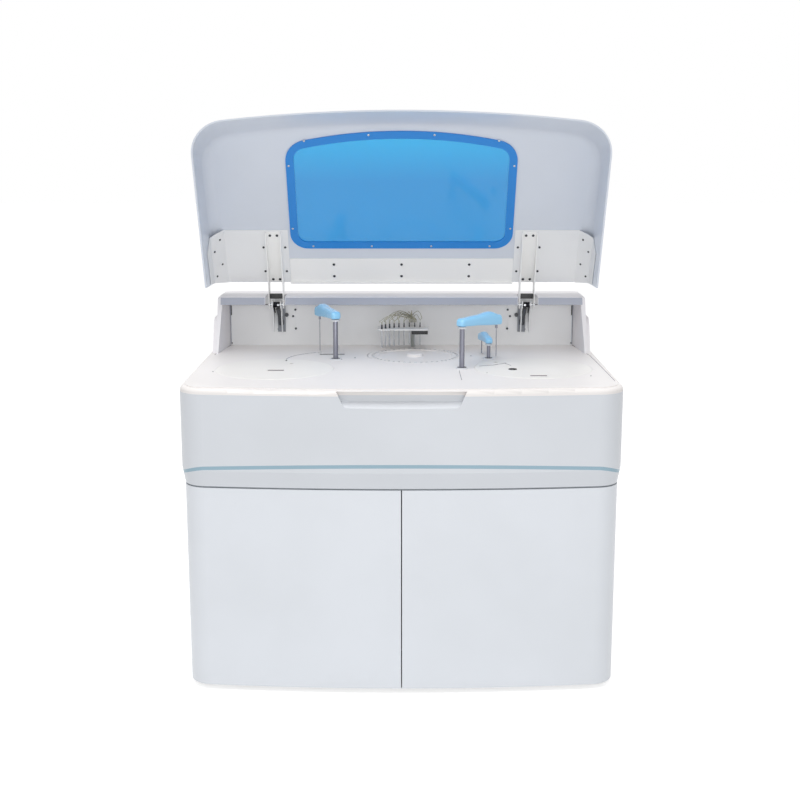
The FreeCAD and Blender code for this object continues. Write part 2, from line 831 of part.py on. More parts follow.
def make_riser():
    top = DECK + s.riser_height
    foot = FRONT + s.riser_foot
    lip_front = foot + s.riser_height * LEAN_TAN
    side = [(foot, DECK), (REAR, DECK), (REAR, top), (lip_front, top)]
    upper = prism("riser_upper", "YZ_Plane", side, -RISER_HALF, RISER_HALF)
    low_top = DECK + s.shoulder_height
    shoulder_front = foot + 14
    curve = 30
    shoulder = [
        (shoulder_front, DECK), (REAR, DECK), (REAR, low_top),
        (shoulder_front + s.shoulder_height * LEAN_TAN + curve, low_top),
        (shoulder_front + (s.shoulder_height - curve) * LEAN_TAN, low_top - curve, 42),
    ]
    lower = prism("riser_lower", "YZ_Plane", shoulder, -SHOULDER_HALF, SHOULDER_HALF)
    corners = prism("riser_corners", "XY_Plane",
                    rounded((-SHOULDER_HALF, SHOULDER_HALF), (FRONT, REAR), s.rear_radius),
                    DECK, top)
    solid = common("riser_solid", fuse("riser_blocks", [upper, lower]), corners)

    def top_edges(edge):
        bounds = edge.BoundBox
        return bounds.ZMin > top.value - 0.1

    soft = round_edges("riser_soft", solid, 5, top_edges)
    wall = s.cover_wall
    under = top - wall
    lip_back = lip_front + wall
    rear_in = REAR - wall
    front_in, back_in = RISER_FRONT_IN, RISER_BACK_IN
    slope_run = BACK_WALL - foot
    lip_half = front_in - (front_in - back_in) * ((lip_back - foot) / slope_run)
    cavity = [
        (lip_half, lip_back), (back_in, BACK_WALL), (back_in, rear_in), (-back_in, rear_in),
        (-back_in, BACK_WALL), (-lip_half, lip_back),
    ]
    main = prism("riser_cavity", "XY_Plane", cavity, DECK - 1, under)
    mouth_half = front_in + (front_in - back_in) * (dim(60) / slope_run)
    mouth = [(mouth_half, foot - 60), (lip_half, lip_back + EPS), (-lip_half, lip_back + EPS),
             (-mouth_half, foot - 60)]
    front_cut = prism("riser_mouth", "XY_Plane", mouth, DECK - 1, top - s.riser_lip)
    tools = [main, front_cut]
    for name, sign in (("left", -1), ("right", 1)):
        centre = sign * s.hinge_half
        tools.append(box(f"{name}_notch", (centre - s.notch_half, centre + s.notch_half),
                         (lip_front - 20, FRONT + s.notch_rear), (top - s.riser_lip - 1, top + 1)))
    keep("riser_cover", cut("riser_cut", soft, tools))
    half = RISER_BACK_IN - s.fit_gap
    panel = prism("riser_panel_sheet", "XZ_Plane",
                  rounded((-half, half), (DECK, under), dim(2)), BACK_WALL, BACK_WALL + s.sheet)
    keep("riser_back_panel", panel)


def make_hinges():
    """Stands on the back panel, each with two ears that carry a pin and a spring."""
    sheet_thick = s.stand_sheet
    lobe = s.hinge_lobe
    pins, springs = [], []
    for name, sign in (("left", -1), ("right", 1)):
        centre = sign * s.hinge_half
        base_centre = sign * (s.hinge_half - s.stand_shift)
        low, high = DECK + s.stand_low, DECK + s.stand_top
        plate = box(f"{name}_stand_plate", (base_centre - s.stand_half, base_centre + s.stand_half),
                    (BACK_WALL - sheet_thick, BACK_WALL), (low, high))
        ears = []
        for i, ear_sign in enumerate((-1, 1)):
            inner = centre + ear_sign * (s.stand_ear_half - sheet_thick / 2)
            outline = [
                (BACK_WALL - sheet_thick, low + 6),
                (BACK_WALL - sheet_thick, high),
                (PIVOT_Y, PIVOT_Z + lobe),
                (PIVOT_Y - lobe, PIVOT_Z, lobe),
                (PIVOT_Y, PIVOT_Z - lobe, lobe),
                (PIVOT_Y + 14, PIVOT_Z - lobe - 10),
                (BACK_WALL - sheet_thick - 14, low + 6),
            ]
            ears.append(prism(f"{name}_ear_{i}", "YZ_Plane", outline, inner - sheet_thick / 2,
                              inner + sheet_thick / 2))
        bore = rod(f"{name}_stand_bore", (centre - 40, PIVOT_Y, PIVOT_Z), s.hinge_pin, 80, "x")
        solid = fuse(f"{name}_stand_body", [plate] + ears)
        keep(f"{name}_hinge_stand", cut(f"{name}_stand_cut", solid, [bore]))
        length = s.arm_half * 2 + 6
        pins.append(rod(f"{name}_hinge_pin", (centre - length / 2, PIVOT_Y, PIVOT_Z), s.hinge_pin,
                        length, "x"))
        coil_half = s.stand_ear_half - sheet_thick - 1
        coil = rod(f"{name}_coil", (centre - coil_half, PIVOT_Y, PIVOT_Z), s.hinge_pin + 4,
                   coil_half * 2, "x")
        leg = box(f"{name}_leg", (centre - 3, centre + 3), (PIVOT_Y + 4, BACK_WALL - sheet_thick),
                  (PIVOT_Z - 9, PIVOT_Z - 4))
        eye = rod(f"{name}_coil_eye", (centre - 40, PIVOT_Y, PIVOT_Z),
                  s.hinge_pin, 80, "x")
        springs.append(cut(f"{name}_spring", fuse(f"{name}_spring_body", [coil, leg]), [eye]))
    keep("hinge_pins", group("lid_pins", pins))
    keep("hinge_springs", group("lid_springs", springs))


# Lid, drawn shut and then swung open about its pins

def open_lid(item, on_panel=False):
    """Place a lid piece: first on the lid's sloping panel if asked, then swung open."""
    pivot = Vector(0, PIVOT_Y.value, PIVOT_Z.value)
    swing = Placement(Vector(), Rotation(Vector(1, 0, 0), -s.lid_open.value), pivot)
    if on_panel:
        start = Vector(0, (FRONT + s.lid_start).value, (DECK + s.lid_front_height).value)
        slope = Rotation(Vector(1, 0, 0), s.lid_slope.value)
        swing = swing.multiply(Placement(start, slope))
    item.Placement = swing
    return item


def lid_plan(inset, height):
    """Lid outline at a height over the deck; its front leans back as it rises."""
    lean = (height - s.lid_rim_gap) * tan(s.lid_nose)
    return plan(s.lid_inset + inset, 0, s.lid_corner, s.lid_setback + lean)


def hood(name, inset, radius):
    """Solid hood shape, drawn shut: leaning nose, sloping top and rounded top edges."""
    base = s.lid_rim_gap if inset.value == 0 else s.lid_rim_gap - 1
    lift = s.lid_wall - inset
    panel_front = DECK + s.lid_front_height + lift
    start = FRONT + s.lid_start
    front = FRONT - s.front_bulge - 20
    foot = FRONT + s.lid_length + inset
    top_y = (foot + (panel_front - start * LID_TAN - RIM) * LEAN_TAN) / (1 - LID_TAN * LEAN_TAN)
    base_y = foot + (base - s.lid_rim_gap) * LEAN_TAN
    side = [
        (front, DECK + base),
        (base_y, DECK + base),
        (top_y, panel_front + (top_y - start) * LID_TAN),
        (front, panel_front + (front - start) * LID_TAN),
    ]
    peak = dim(240)
    block = common(name + "_block",
                   loft(name + "_plan", lid_plan(inset, base), DECK + base, lid_plan(inset, peak),
                        DECK + peak),
                   prism(name + "_side", "YZ_Plane", side, -HALF - 5, HALF + 5))

    def top_edge(edge):
        bounds = edge.BoundBox
        high = bounds.ZMin > DECK.value + s.lid_front_height.value - 25
        behind = bounds.YMax - bounds.YMin < 1 and bounds.YMin > start.value + 200
        return high and not behind

    return round_edges(name, block, radius.value, top_edge)


def window_outline(margin):
    """Window outline in the lid's panel, arched towards the front edge."""
    half = s.window_half - margin
    front = s.window_start + margin + s.window_arch
    rear = s.window_start + s.window_length - margin
    corner = s.window_corner - margin
    arch = s.window_arch
    flat = half - corner
    bow = (flat * flat + arch * arch) / (arch * 2)
    lean = flat / bow
    nose = corner / (1 - lean)
    side = front + nose * root(1 - lean * lean)
    return [
        (half, rear - corner),
        (half - corner, rear, corner),
        (-half + corner, rear),
        (-half, rear - corner, corner),
        (-half, side),
        (-flat, front, nose),
        (flat, front, bow),
        (half, side, nose),
    ]


def window_screw_spots():
    """Screws round the window frame, along its middle."""
    band = s.window_band / 2 - 3
    half = s.window_half
    front = s.window_start
    rear = front + s.window_length - band
    spots = []
    for share in (-0.83, -0.28, 0.28, 0.83):
        sag = s.window_arch * (share * share)
        spots.append((half * share, front + band + sag))
        spots.append((half * share * 0.96, rear))
    for sign in (-1, 1):
        for share in (0.28, 0.82):
            spots.append((sign * (half - band), front + s.window_length * share))
    return spots


def lid_screw_spots():
    """Screws through the plates, the cross bar and the arms."""
    spots = []
    rear = s.plate_start + s.plate_length
    for x in (-215, 0, 215):
        for y in (s.bar_start + 22, rear - 22):
            spots.append((dim(x), y))
    for sign in (-1, 1):
        for y in (s.plate_start + 18, rear - 12):
            for x in (-11, 11):
                spots.append((sign * s.hinge_half + x, y))
    return spots


def screws(name, spots, seat, grip):
    """Small screws standing on a seat level, with shanks of a length above it."""
    solids = []
    for i, (x, y) in enumerate(spots):
        head = rod(f"{name}_head_{i}", (x, y, seat - s.screw_high), s.screw_head, s.screw_high)
        shank = rod(f"{name}_shank_{i}", (x, y, seat - EPS), s.screw_shank, grip)
        solids.append(fuse(f"{name}_{i}", [head, shank]))
    return solids


def screw_holes(name, spots, low, high):
    return [rod(f"{name}_hole_{i}", (x, y, low), s.screw_shank + s.running_gap, high - low)
            for i, (x, y) in enumerate(spots)]


def make_lid():
    outer = hood("hood_outer", dim(0), s.lid_round)
    inner = hood("hood_inner", s.lid_wall, s.lid_round - s.lid_wall)
    wall = s.lid_wall
    hole = prism("window_hole", "XY_Plane", window_outline(s.window_band - s.window_lap), -5,
                 wall + 20)
    holes = [hole] + screw_holes("shell_window", window_screw_spots(), dim(-1), dim(4))
    holes += screw_holes("shell_lid", lid_screw_spots(), dim(-1), dim(4))
    tools = fuse("panel_tools", holes)
    start = Vector(0, (FRONT + s.lid_start).value, (DECK + s.lid_front_height).value)
    tools.Placement = Placement(start, Rotation(Vector(1, 0, 0), s.lid_slope.value))
    shell = cut("hood_shell", outer, [inner, tools])
    keep("lid_shell", open_lid(shell))
    frame = prism("window_ring", "XY_Plane", window_outline(0), -s.window_frame_thick, 0,
                  [window_outline(s.window_band)])
    ring = cut("window_ring_cut", frame,
               screw_holes("ring", window_screw_spots(), dim(-6), dim(1)))
    keep("window_frame", open_lid(ring, True))
    pane = prism("window_glass", "XY_Plane",
                 window_outline(s.window_band - s.window_lap + s.fit_gap), 0, s.pane_thick)
    keep("window_pane", open_lid(pane, True))
    window_screws = group("window_fixings", screws("window_screw", window_screw_spots(),
                                                   -s.window_frame_thick,
                                                   s.window_frame_thick + 3))
    keep("window_screws", open_lid(window_screws, True))


def make_lid_plates():
    """Sheet plates folded along the lid's sides, and the bar between them."""
    thick = s.plate_sheet
    front, rear = s.plate_start, s.plate_start + s.plate_length
    side = HALF - s.lid_inset - s.lid_wall - 1
    outer = side - s.plate_turn
    fold = s.lid_round - s.lid_wall
    low_rear = rear - (s.flange_drop - 6) * tan(s.riser_lean + s.lid_slope) - 4
    holes = screw_holes("plate", lid_screw_spots(), dim(-10), dim(1))
    tools = {"bar": fuse("bar_hole_tools", holes)}
    for name, sign in (("left", -1), ("right", 1)):
        points = [
            (s.plate_inner, 0), (s.plate_inner, -thick),
            (outer, -thick),
            (side - thick, -thick - fold - 4),
            (side - thick, -s.flange_drop),
            (side, -s.flange_drop),
            (side, -fold - 6),
            (outer + 1, 0),
        ]
        points = [(x * sign, z) for x, z in points]
        points = points[::-1] if sign > 0 else points
        folded = prism(f"{name}_plate_fold", "XZ_Plane", points, front, rear)
        outline = prism(f"{name}_plate_shape", "YZ_Plane", [
            (front, 1), (front, -26), (front + 16, -s.flange_drop),
            (low_rear, -s.flange_drop), (rear, -6), (rear, 1),
        ], -HALF, HALF)
        plate_holes = screw_holes(f"{name}_plate", lid_screw_spots(), dim(-10), dim(1))
        solid = cut(f"{name}_plate_cut", common(f"{name}_plate_trim", folded, outline), plate_holes)
        keep(f"{name}_lid_plate", open_lid(solid, True))
    half = s.plate_inner - s.fit_gap
    flat = box("bar_flat", (-half, half), (s.bar_start, rear), (-thick, 0))
    lip = box("bar_lip", (-half, half), (rear - thick, rear), (-thick - 12, 0))
    bar = cut("bar_cut", fuse("bar_body", [flat, lip]), [tools["bar"]])
    keep("lid_cross_bar", open_lid(bar, True))


def make_lid_arms():
    """Channels under the plates that run back to the hinge pins."""
    thick, web = s.arm_sheet, s.plate_sheet
    front, rear = s.plate_start + 4, s.plate_start + s.plate_length - 2
    slope_sin, slope_cos = sin(s.lid_slope), cos(s.lid_slope)
    run, rise = s.hinge_reach - s.lid_start, s.hinge_height - s.lid_front_height
    pivot_y = run * slope_cos + rise * slope_sin
    pivot_z = rise * slope_cos - run * slope_sin
    lobe = s.hinge_lobe
    for name, sign in (("left", -1), ("right", 1)):
        centre = sign * s.hinge_half
        plate = box(f"{name}_arm_web", (centre - s.arm_half, centre + s.arm_half), (front, rear),
                    (-web - thick, -web))
        flanges = []
        for i, face in enumerate((-1, 1)):
            outer = centre + face * s.arm_half
            pair = sorted([outer, outer - face * thick], key=lambda v: v.value)
            outline = [
                (front, -web),
                (front, -web - s.arm_flange * 0.4),
                (front + 40, -web - s.arm_flange),
                (rear - 90, -web - s.arm_flange),
                (pivot_y - 6, pivot_z - lobe + 1.5),
                (pivot_y + lobe, pivot_z, lobe),
                (pivot_y + 6, pivot_z + lobe + 8),
                (rear + 6, -web - 6),
                (rear, -web),
            ]
            flanges.append(prism(f"{name}_arm_flange_{i}", "YZ_Plane", outline, pair[0], pair[1]))
        bore = rod(f"{name}_arm_bore", (centre - 40, pivot_y, pivot_z),
                   s.hinge_pin + s.running_gap / 2, 80, "x")
        fixing = screw_holes(f"{name}_arm", lid_screw_spots(), dim(-10), dim(1))
        solid = cut(f"{name}_arm_cut", fuse(f"{name}_arm_body", [plate] + flanges),
                    [bore] + fixing)
        keep(f"{name}_lid_arm", open_lid(solid, True))
    spots = lid_screw_spots()
    bar_spots, arm_spots_ = spots[:6], spots[6:]
    fixings = screws("bar_screw", bar_spots, -web, web + 3)
    fixings += screws("arm_screw", arm_spots_, -web - thick, web + thick + 3)
    keep("lid_screws", open_lid(group("lid_fixings", fixings), True))


# Probe arms, mixer arm, wash station and disks

def arm_cover(name, reach, height, scale):
    """Moulded arm cover, drawn along +X from its post, with a raised hump near the tip."""
    shape = [
        (-14, 0), (14, 0), (30, -1), (reach.value + 12, -8), (reach.value + 16, 2),
        (reach.value + 10, 20), (reach.value - 30, 34), (reach.value - 80, 29), (-8, 24), (-15, 18),
    ]
    points = [(dim(x), height + z * scale) for x, z in shape]
    half = s.arm_width / 2 * scale
    block = prism(name + "_block", "XZ_Plane", points, -half, half)

    def long_edges(edge):
        bounds = edge.BoundBox
        return bounds.YMax - bounds.YMin < 0.1

    return round_edges(name + "_soft", block, 5 * scale, long_edges)


def make_arm(name, x, y, reach, turn, height, probe_radius, probe_low, scale=1.0):
    """Bush in the deck, post, cover and probe of one arm."""
    post_radius = s.probe_post * (scale if scale < 1 else 1)
    sleeve = [
        (post_radius + s.running_gap / 2, DECK - 18), (s.bush_sleeve, DECK - 18),
        (s.bush_sleeve, DECK), (s.bush_flange, DECK), (s.bush_flange - 1, DECK + s.bush_thick),
        (post_radius + s.running_gap / 2, DECK + s.bush_thick),
    ]
    keep(f"{name}_arm_bush", turned(f"{name}_bush", sleeve, x, y))
    top = DECK + height
    post = [
        (0, DECK - 150), (post_radius, DECK - 150), (post_radius, top - 4),
        (post_radius + 3, top - 4), (post_radius + 3, top), (post_radius - 3, top),
        (post_radius - 3, top + 10), (0, top + 10),
    ]
    keep(f"{name}_arm_post", turned(f"{name}_post", post, x, y))
    cover = arm_cover(f"{name}_cover", reach, top, scale)
    socket = rod(f"{name}_socket", (0, 0, top - 1), post_radius - 3 + s.running_gap, 11.5)
    tip_hole = rod(f"{name}_tip_hole", (reach, 0, top - 20), probe_radius + s.running_gap,
                   20 + 12 * scale)
    shaped = cut(f"{name}_cover_cut", cover, [socket, tip_hole])
    place = Placement(Vector(x.value, y.value, 0), Rotation(Vector(0, 0, 1), turn.value))
    shaped.Placement = place
    keep(f"{name}_arm_cover", shaped)
    return place, top


def make_arms():
    spots = {name: (x, y) for name, x, y in arm_spots()}
    for name, reach, turn, low in (("sample", s.sample_reach, s.sample_turn, 6),
                                   ("reagent", s.reagent_reach, s.reagent_turn, 20)):
        place, top = make_arm(name, *spots[name], reach, turn, s.probe_arm_height, dim(1.2), low)
        needle = rod(f"{name}_needle", (reach, 0, DECK + low), 1.2, s.probe_arm_height - low + 10)
        collar = rod(f"{name}_collar", (reach, 0, top - 19), 3.5, 9)
        probe = fuse(f"{name}_probe_body", [needle, collar])
        probe.Placement = place
        keep(f"{name}_probe", probe)
    place, top = make_arm("mixer", *spots["mixer"], s.mixer_reach, s.mixer_turn,
                          s.mixer_arm_height, dim(1.5), 4, 0.75)
    shaft = rod("paddle_shaft", (s.mixer_reach, 0, DECK + 12), 1.5, s.mixer_arm_height - 3)
    blade = box("paddle_blade", (s.mixer_reach - 3, s.mixer_reach + 3), (-0.6, 0.6),
                (DECK + 2, DECK + 14))
    paddle = fuse("paddle_body", [shaft, blade])
    paddle.Placement = place
    keep("mixer_paddle", paddle)


def wash_spots():
    """Nozzle places along the cuvette ring, two to a cuvette pitch."""
    pitch = 360 / s.cuvette_count.value
    spots = []
    for i in range(9):
        angle = math.radians(82.5 + pitch * i)
        for shift in (-1.55, 1.55):
            ring = s.cuvette_ring.value + shift
            spots.append((s.disk_x.value + ring * math.cos(angle),
                          (FRONT + s.disk_y).value + ring * math.sin(angle)))
    return spots


def make_wash_station():
    x, y = s.wash_x, FRONT + s.wash_y
    level = DECK + s.wash_height
    post = [(0, DECK - 120), (s.wash_post, DECK - 120), (s.wash_post, level), (0, level)]
    keep("wash_post", turned("wash_rod", post, x, y))
    ring_rear = FRONT + s.disk_y + s.cuvette_ring
    plate = box("wash_plate", (x - 112, x + 46), (ring_rear - 54, ring_rear + 12),
                (level, level + 4))
    bracket = box("wash_bracket", (x - 14, x + 14), (ring_rear + 12, y + 14), (level, level + 4))
    block = box("wash_block", (x - 6, x + 46), (ring_rear - 54, ring_rear - 36),
                (level - 12, level))
    head = fuse("wash_head_body", [plate, bracket, block])
    holes = [rod(f"wash_hole_{i}", (nx, ny, level - 20), s.wash_nozzle + 0.05, 40)
             for i, (nx, ny) in enumerate(wash_spots())]
    keep("wash_head", cut("wash_head_cut", head, holes))
    nozzles = [rod(f"nozzle_{i}", (nx, ny, DECK + 12), s.wash_nozzle, s.wash_height + 6)
               for i, (nx, ny) in enumerate(wash_spots())]
    keep("wash_nozzles", group("nozzle_set", nozzles))


def make_reaction_disk():
    """Reaction disk with a ring of cuvette pockets, a hub cap and a drive shaft."""
    x, y = s.disk_x, FRONT + s.disk_y
    edge = s.disk_radius
    profile = [
        (0, DECK - 120), (s.shaft_radius, DECK - 120), (s.shaft_radius, DECK - 24),
        (edge - 40, DECK - 24), (edge - 36, DECK - 38), (edge - 4, DECK - 38), (edge, DECK - 34),
        (edge, DECK - 1), (edge - 1, DECK),
        (edge - 34, DECK), (edge - 36, DECK - 2), (s.hub_radius + 2, DECK - 2),
        (s.hub_radius, DECK + 4), (s.hub_radius - 3, DECK + 6), (0, DECK + 6),
    ]
    body = turned("disk_body", profile, x, y)
    half = s.cuvette_width / 2 + s.fit_gap / 2
    sketch = new_sketch(body, "XY_Plane", "slot_outline", DECK + 5)
    draw_loop(sketch, [(s.cuvette_ring + half, -half), (s.cuvette_ring + half, half),
                       (s.cuvette_ring - half, half), (s.cuvette_ring - half, -half)], "k")
    slot = body.newObject("PartDesign::Pocket", "cuvette_slot")
    slot.Profile = sketch
    slot.setExpression("Length", (s.cuvette_deep + 5).text)
    ring = body.newObject("PartDesign::PolarPattern", "cuvette_slots")
    ring.Originals = [slot]
    ring.Axis = (sketch, ["N_Axis"])
    ring.Angle = 360
    ring.setExpression("Occurrences", "Sizes.cuvette_count")
    body.Tip = ring
    keep("reaction_disk", body)
    cups = []
    wall = 1
    size = s.cuvette_width / 2
    count = int(s.cuvette_count.value)
    for i in range(count):
        cup = cut(f"cuvette_{i}",
                  box(f"cup_{i}", (s.cuvette_ring - size, s.cuvette_ring + size), (-size, size),
                      (DECK - s.cuvette_deep, DECK - 0.5)),
                  [box(f"cup_hollow_{i}", (s.cuvette_ring - size + wall, s.cuvette_ring + size - wall),
                       (-size + wall, size - wall), (DECK - s.cuvette_deep + wall, DECK + 1))])
        angle = 360.0 * i / count
        cup.Placement = Placement(Vector(x.value, y.value, 0), Rotation(Vector(0, 0, 1), angle))
        cups.append(cup)
    keep("cuvettes", group("cuvette_set", cups))


def make_rotors():
    """Sample and reagent rotors on their shafts, under flush covers."""
    for name, x, y in rotor_spots():
        profile = [
            (0, DECK - 120), (s.shaft_radius, DECK - 120), (s.shaft_radius, DECK - 90),
            (s.rotor_radius, DECK - 90), (s.rotor_radius, DECK - 84), (s.rotor_top, DECK - 84),
            (s.rotor_top, DECK - 40), (s.shaft_radius + 10, DECK - 40),
            (s.shaft_radius + 10, DECK - 14), (0, DECK - 14),
        ]
        body = turned(name + "_carousel", profile, x, y)
        pocket = new_sketch(body, "XY_Plane", name + "_well", DECK - 35)
        well = 11 if name == "sample" else 17
        pick_x, pick_y = pick_spot(name)
        draw_circle(pocket, pick_x - x, pick_y - y, well, "w")
        hole = body.newObject("PartDesign::Pocket", name + "_well_pocket")
        hole.Profile = pocket
        hole.Length = 35
        ring = body.newObject("PartDesign::PolarPattern", name + "_wells")
        ring.Originals = [hole]
        ring.Axis = (pocket, ["N_Axis"])
        ring.Angle = 360
        ring.Occurrences = 20 if name == "sample" else 8
        body.Tip = ring
        keep(name + "_rotor", body)
        seat = s.rotor_seat - s.fit_gap
        low = DECK - s.rotor_recess
        lid = [
            (0, low), (seat, low), (seat, DECK - 0.5), (seat - 1.5, DECK + 0.6),
            (0, DECK + 1.6),
        ]
        cover = turned(name + "_lid", lid, x, y)
        keep(name + "_disk_cover", grip_cut(cover, name, x, y))


def grip_cut(cover, name, x, y):
    """Finger grip sunk into a disk cover."""
    grip_x, grip_y = (x + 6, y - 30) if name == "sample" else (x + 3, y - 133)
    tools = [box(name + "_grip", (grip_x - 24, grip_x + 24), (grip_y - 9, grip_y + 9),
                 (DECK - 1.4, DECK + 10))]
    tools.append(rod(name + "_pick_port", (*pick_spot(name), DECK - 10), s.pick_port, 30))
    if name == "reagent":
        tools.append(rod("reagent_port", (*probe_spot(name), DECK - 10), s.pick_port, 30))
    return cut(name + "_grip_cut", cover, tools)


def make_drives():
    """Drive units on the shelf, each bored for the shaft or post above it."""
    units = []
    half = s.drive_half
    shafts = [(name + "_arm", x, y, s.probe_post, DECK - 120, 30) for name, x, y in arm_spots()]
    shafts += [(name + "_rotor", x, y, s.shaft_radius, DECK - 98, half) for name, x, y in rotor_spots()]
    shafts.append(("disk", s.disk_x, FRONT + s.disk_y, s.shaft_radius, DECK - 90, half))
    shafts.append(("wash", s.wash_x, FRONT + s.wash_y, s.wash_post, DECK - 90, 20))
    for name, x, y, radius, top, size in shafts:
        case = box(name + "_drive_case", (x - size, x + size), (y - size, y + size),
                   (SHELF_TOP, top))
        bore = rod(name + "_drive_bore", (x, y, SHELF_TOP + 10), radius + 0.3, top - SHELF_TOP)
        units.append(cut(name + "_drive", case, [bore]))
    keep("drive_units", group("drives", units))


# Inside the cabinet, and the fittings on the rear panel

def make_cabinet_contents():
    floor = FLOOR_TOP
    width = s.tank_width
    tanks, caps = [], []
    for i in range(2):
        left = -470 + i * (width + 40)
        tank = box(f"tank_{i}", (left, left + width), (-120, 140), (floor, floor + s.tank_height))
        neck = rod(f"tank_neck_{i}", (left + width / 2, 10, floor + s.tank_height - 1), 24, 15)
        shell = fuse(f"tank_body_{i}", [tank, neck])
        hollow = box(f"tank_hollow_{i}", (left + 3, left + width - 3), (-117, 137),
                     (floor + 3, floor + s.tank_height - 3))
        mouth = rod(f"tank_mouth_{i}", (left + width / 2, 10, floor + s.tank_height - 5), 20, 30)
        tanks.append(cut(f"tank_shell_{i}", shell, [hollow, mouth]))
        seat = floor + s.tank_height + 14
        disk = rod(f"cap_disk_{i}", (left + width / 2, 10, seat - 12), 28, 20)
        neck_room = rod(f"cap_room_{i}", (left + width / 2, 10, seat - 14), 24.2, 14)
        caps.append(cut(f"cap_{i}", disk, [neck_room]))
    keep("fluid_tanks", group("tank_pair", tanks))
    keep("tank_caps", group("cap_pair", caps))
    case = box("electronics_case", (80, 480), (-140, 200), (floor, floor + 260))
    vents = [box(f"case_slot_{i}", (110 + i * 24, 120 + i * 24), (-145, -138),
                 (floor + 60, floor + 200)) for i in range(14)]
    keep("electronics_box", cut("electronics_cut", case, vents))
    pump_x, pump_y = dim(30), dim(0)
    body = box("pump_frame", (pump_x - 30, pump_x + 30), (pump_y - 25, pump_y + 35),
               (floor, floor + 60))
    back = box("pump_back", (pump_x - 30, pump_x + 30), (pump_y + 21, pump_y + 35),
               (floor, floor + 220))
    barrel = rod("pump_barrel", (pump_x, pump_y, floor + 130), 14, 80)
    clamp = box("pump_clamp", (pump_x - 18, pump_x + 18), (pump_y, pump_y + 30),
                (floor + 160, floor + 180))
    bore = rod("pump_bore", (pump_x, pump_y, floor + 120), 8, 82)
    well = rod("pump_well", (pump_x, pump_y, floor + 5), 5.5, 60)
    pump = cut("pump_cut", fuse("pump_body", [body, back, barrel, clamp]), [bore, well])
    keep("syringe_pump", pump)
    rod_low = rod("plunger_rod", (pump_x, pump_y, floor + 50), 5, 120)
    seal = rod("plunger_seal", (pump_x, pump_y, floor + 168), 7.9, 12)
    flange = rod("plunger_flange", (pump_x, pump_y, floor + 100), 12, 6)
    keep("syringe_plunger", fuse("plunger_body", [rod_low, seal, flange]))


def make_rear_fittings():
    """Cooling fan behind its grille, and the power inlet with its rocker."""
    half = s.fan_half
    x, z = dim(300), dim(430)
    back = BACK - s.sheet
    depth = 25
    case = box("fan_case", (x - half, x + half), (back - depth, back), (z - half, z + half))
    tunnel = rod("fan_tunnel", (x, back - depth - 5, z), half - 4, depth + 10, "y")
    hub_seat = rod("fan_hub_seat", (x, back - 4, z), 16, 4, "y")
    struts = [box("fan_strut_x", (x - half + 2, x + half - 2), (back - 4, back), (z - 2, z + 2)),
              box("fan_strut_z", (x - 2, x + 2), (back - 4, back), (z - half + 2, z + half - 2))]
    axle = rod("fan_axle", (x, back - 16, z), 3, 13, "y")
    keep("fan_frame", fuse("fan_frame_body", [cut("fan_ring", case, [tunnel]), hub_seat, axle]
                           + struts))
    hub = rod("fan_hub", (x, back - 20, z), 18, 15, "y")
    blades = []
    for i in range(7):
        blade = box(f"fan_blade_{i}", (14, half - 6), (-1, 1), (-9, 9))
        tilt = Rotation(Vector(1, 0, 0), 40)
        spin = Rotation(Vector(0, 1, 0), 360.0 * i / 7)
        holder = group(f"fan_blade_turn_{i}", [blade])
        holder.Placement = Placement(Vector(x.value, back.value - 13, z.value),
                                     spin.multiply(tilt))
        blades.append(holder)
    bore = rod("fan_bore", (x, back - 17, z), 3.08, 20, "y")
    keep("fan_impeller", cut("fan_impeller_cut", fuse("fan_wheel", [hub] + blades), [bore]))
    left, right, low, high = dim(-329.5), dim(-270.5), dim(480.5), dim(529.5)
    module = box("inlet_case", (left, right), (BACK - 34, BACK), (low, high))
    flange = box("inlet_flange", (left - 4, right + 4), (BACK, BACK + 2), (low - 4, high + 4))
    socket = box("inlet_socket", (left + 4, left + 30), (BACK - 20, BACK + 5), (low + 14, high - 14))
    rocker_hole = box("rocker_hole", (right - 20, right - 5), (BACK - 16, BACK + 5),
                      (low + 11.3, high - 11.3))
    prongs = [box(f"inlet_prong_{i}", (left + 9 + 7 * i, left + 11 + 7 * i), (BACK - 21, BACK - 6),
                  (low + 21, low + 27)) for i in range(3)]
    pins = [rod("rocker_axle", (right - 21, BACK - 6, (low + high) / 2), 1.5, 17, "x")]
    body = cut("inlet_cut", fuse("inlet_body", [module, flange]), [socket, rocker_hole])
    keep("power_inlet", fuse("inlet_module", [body] + prongs + pins))
    middle = (low + high) / 2
    rocker = prism("rocker_block", "YZ_Plane", [
        (BACK - 12, middle - 6), (BACK - 2, middle - 11.5), (BACK + 3.4, middle - 11.5),
        (BACK + 1.6, middle), (BACK + 3.4, middle + 11.5), (BACK - 2, middle + 11.5),
        (BACK - 12, middle + 6),
    ], right - 19.2, right - 5.8)
    hole = rod("rocker_bore", (right - 25, BACK - 6, middle), 1.55, 25, "x")
    keep("rocker_switch", cut("rocker_cut", rocker, [hole]))


make_base()
make_doors()
make_side_panels()
make_rear_panel()
make_housing()
make_deck()
make_riser()
make_hinges()
make_lid()
make_lid_plates()
make_lid_arms()
make_arms()
make_wash_station()
make_reaction_disk()
make_rotors()
make_drives()
make_cabinet_contents()
make_rear_fittings()
doc.recompute()

# Every object has to be sound before anything is written
faults = [item.Name for item in doc.Objects if {"Invalid", "Error"} & set(item.State)]
for name, item in parts.items():
    if item.Shape.isNull() or not item.Shape.isValid() or not item.Shape.Solids:
        faults.append(name)
if faults:
    raise RuntimeError("unsound: " + ", ".join(faults))

os.makedirs("parts", exist_ok=True)
for name, item in parts.items():
    item.Shape.exportStep(f"parts/{name}.step")
print(len(parts), "parts written")
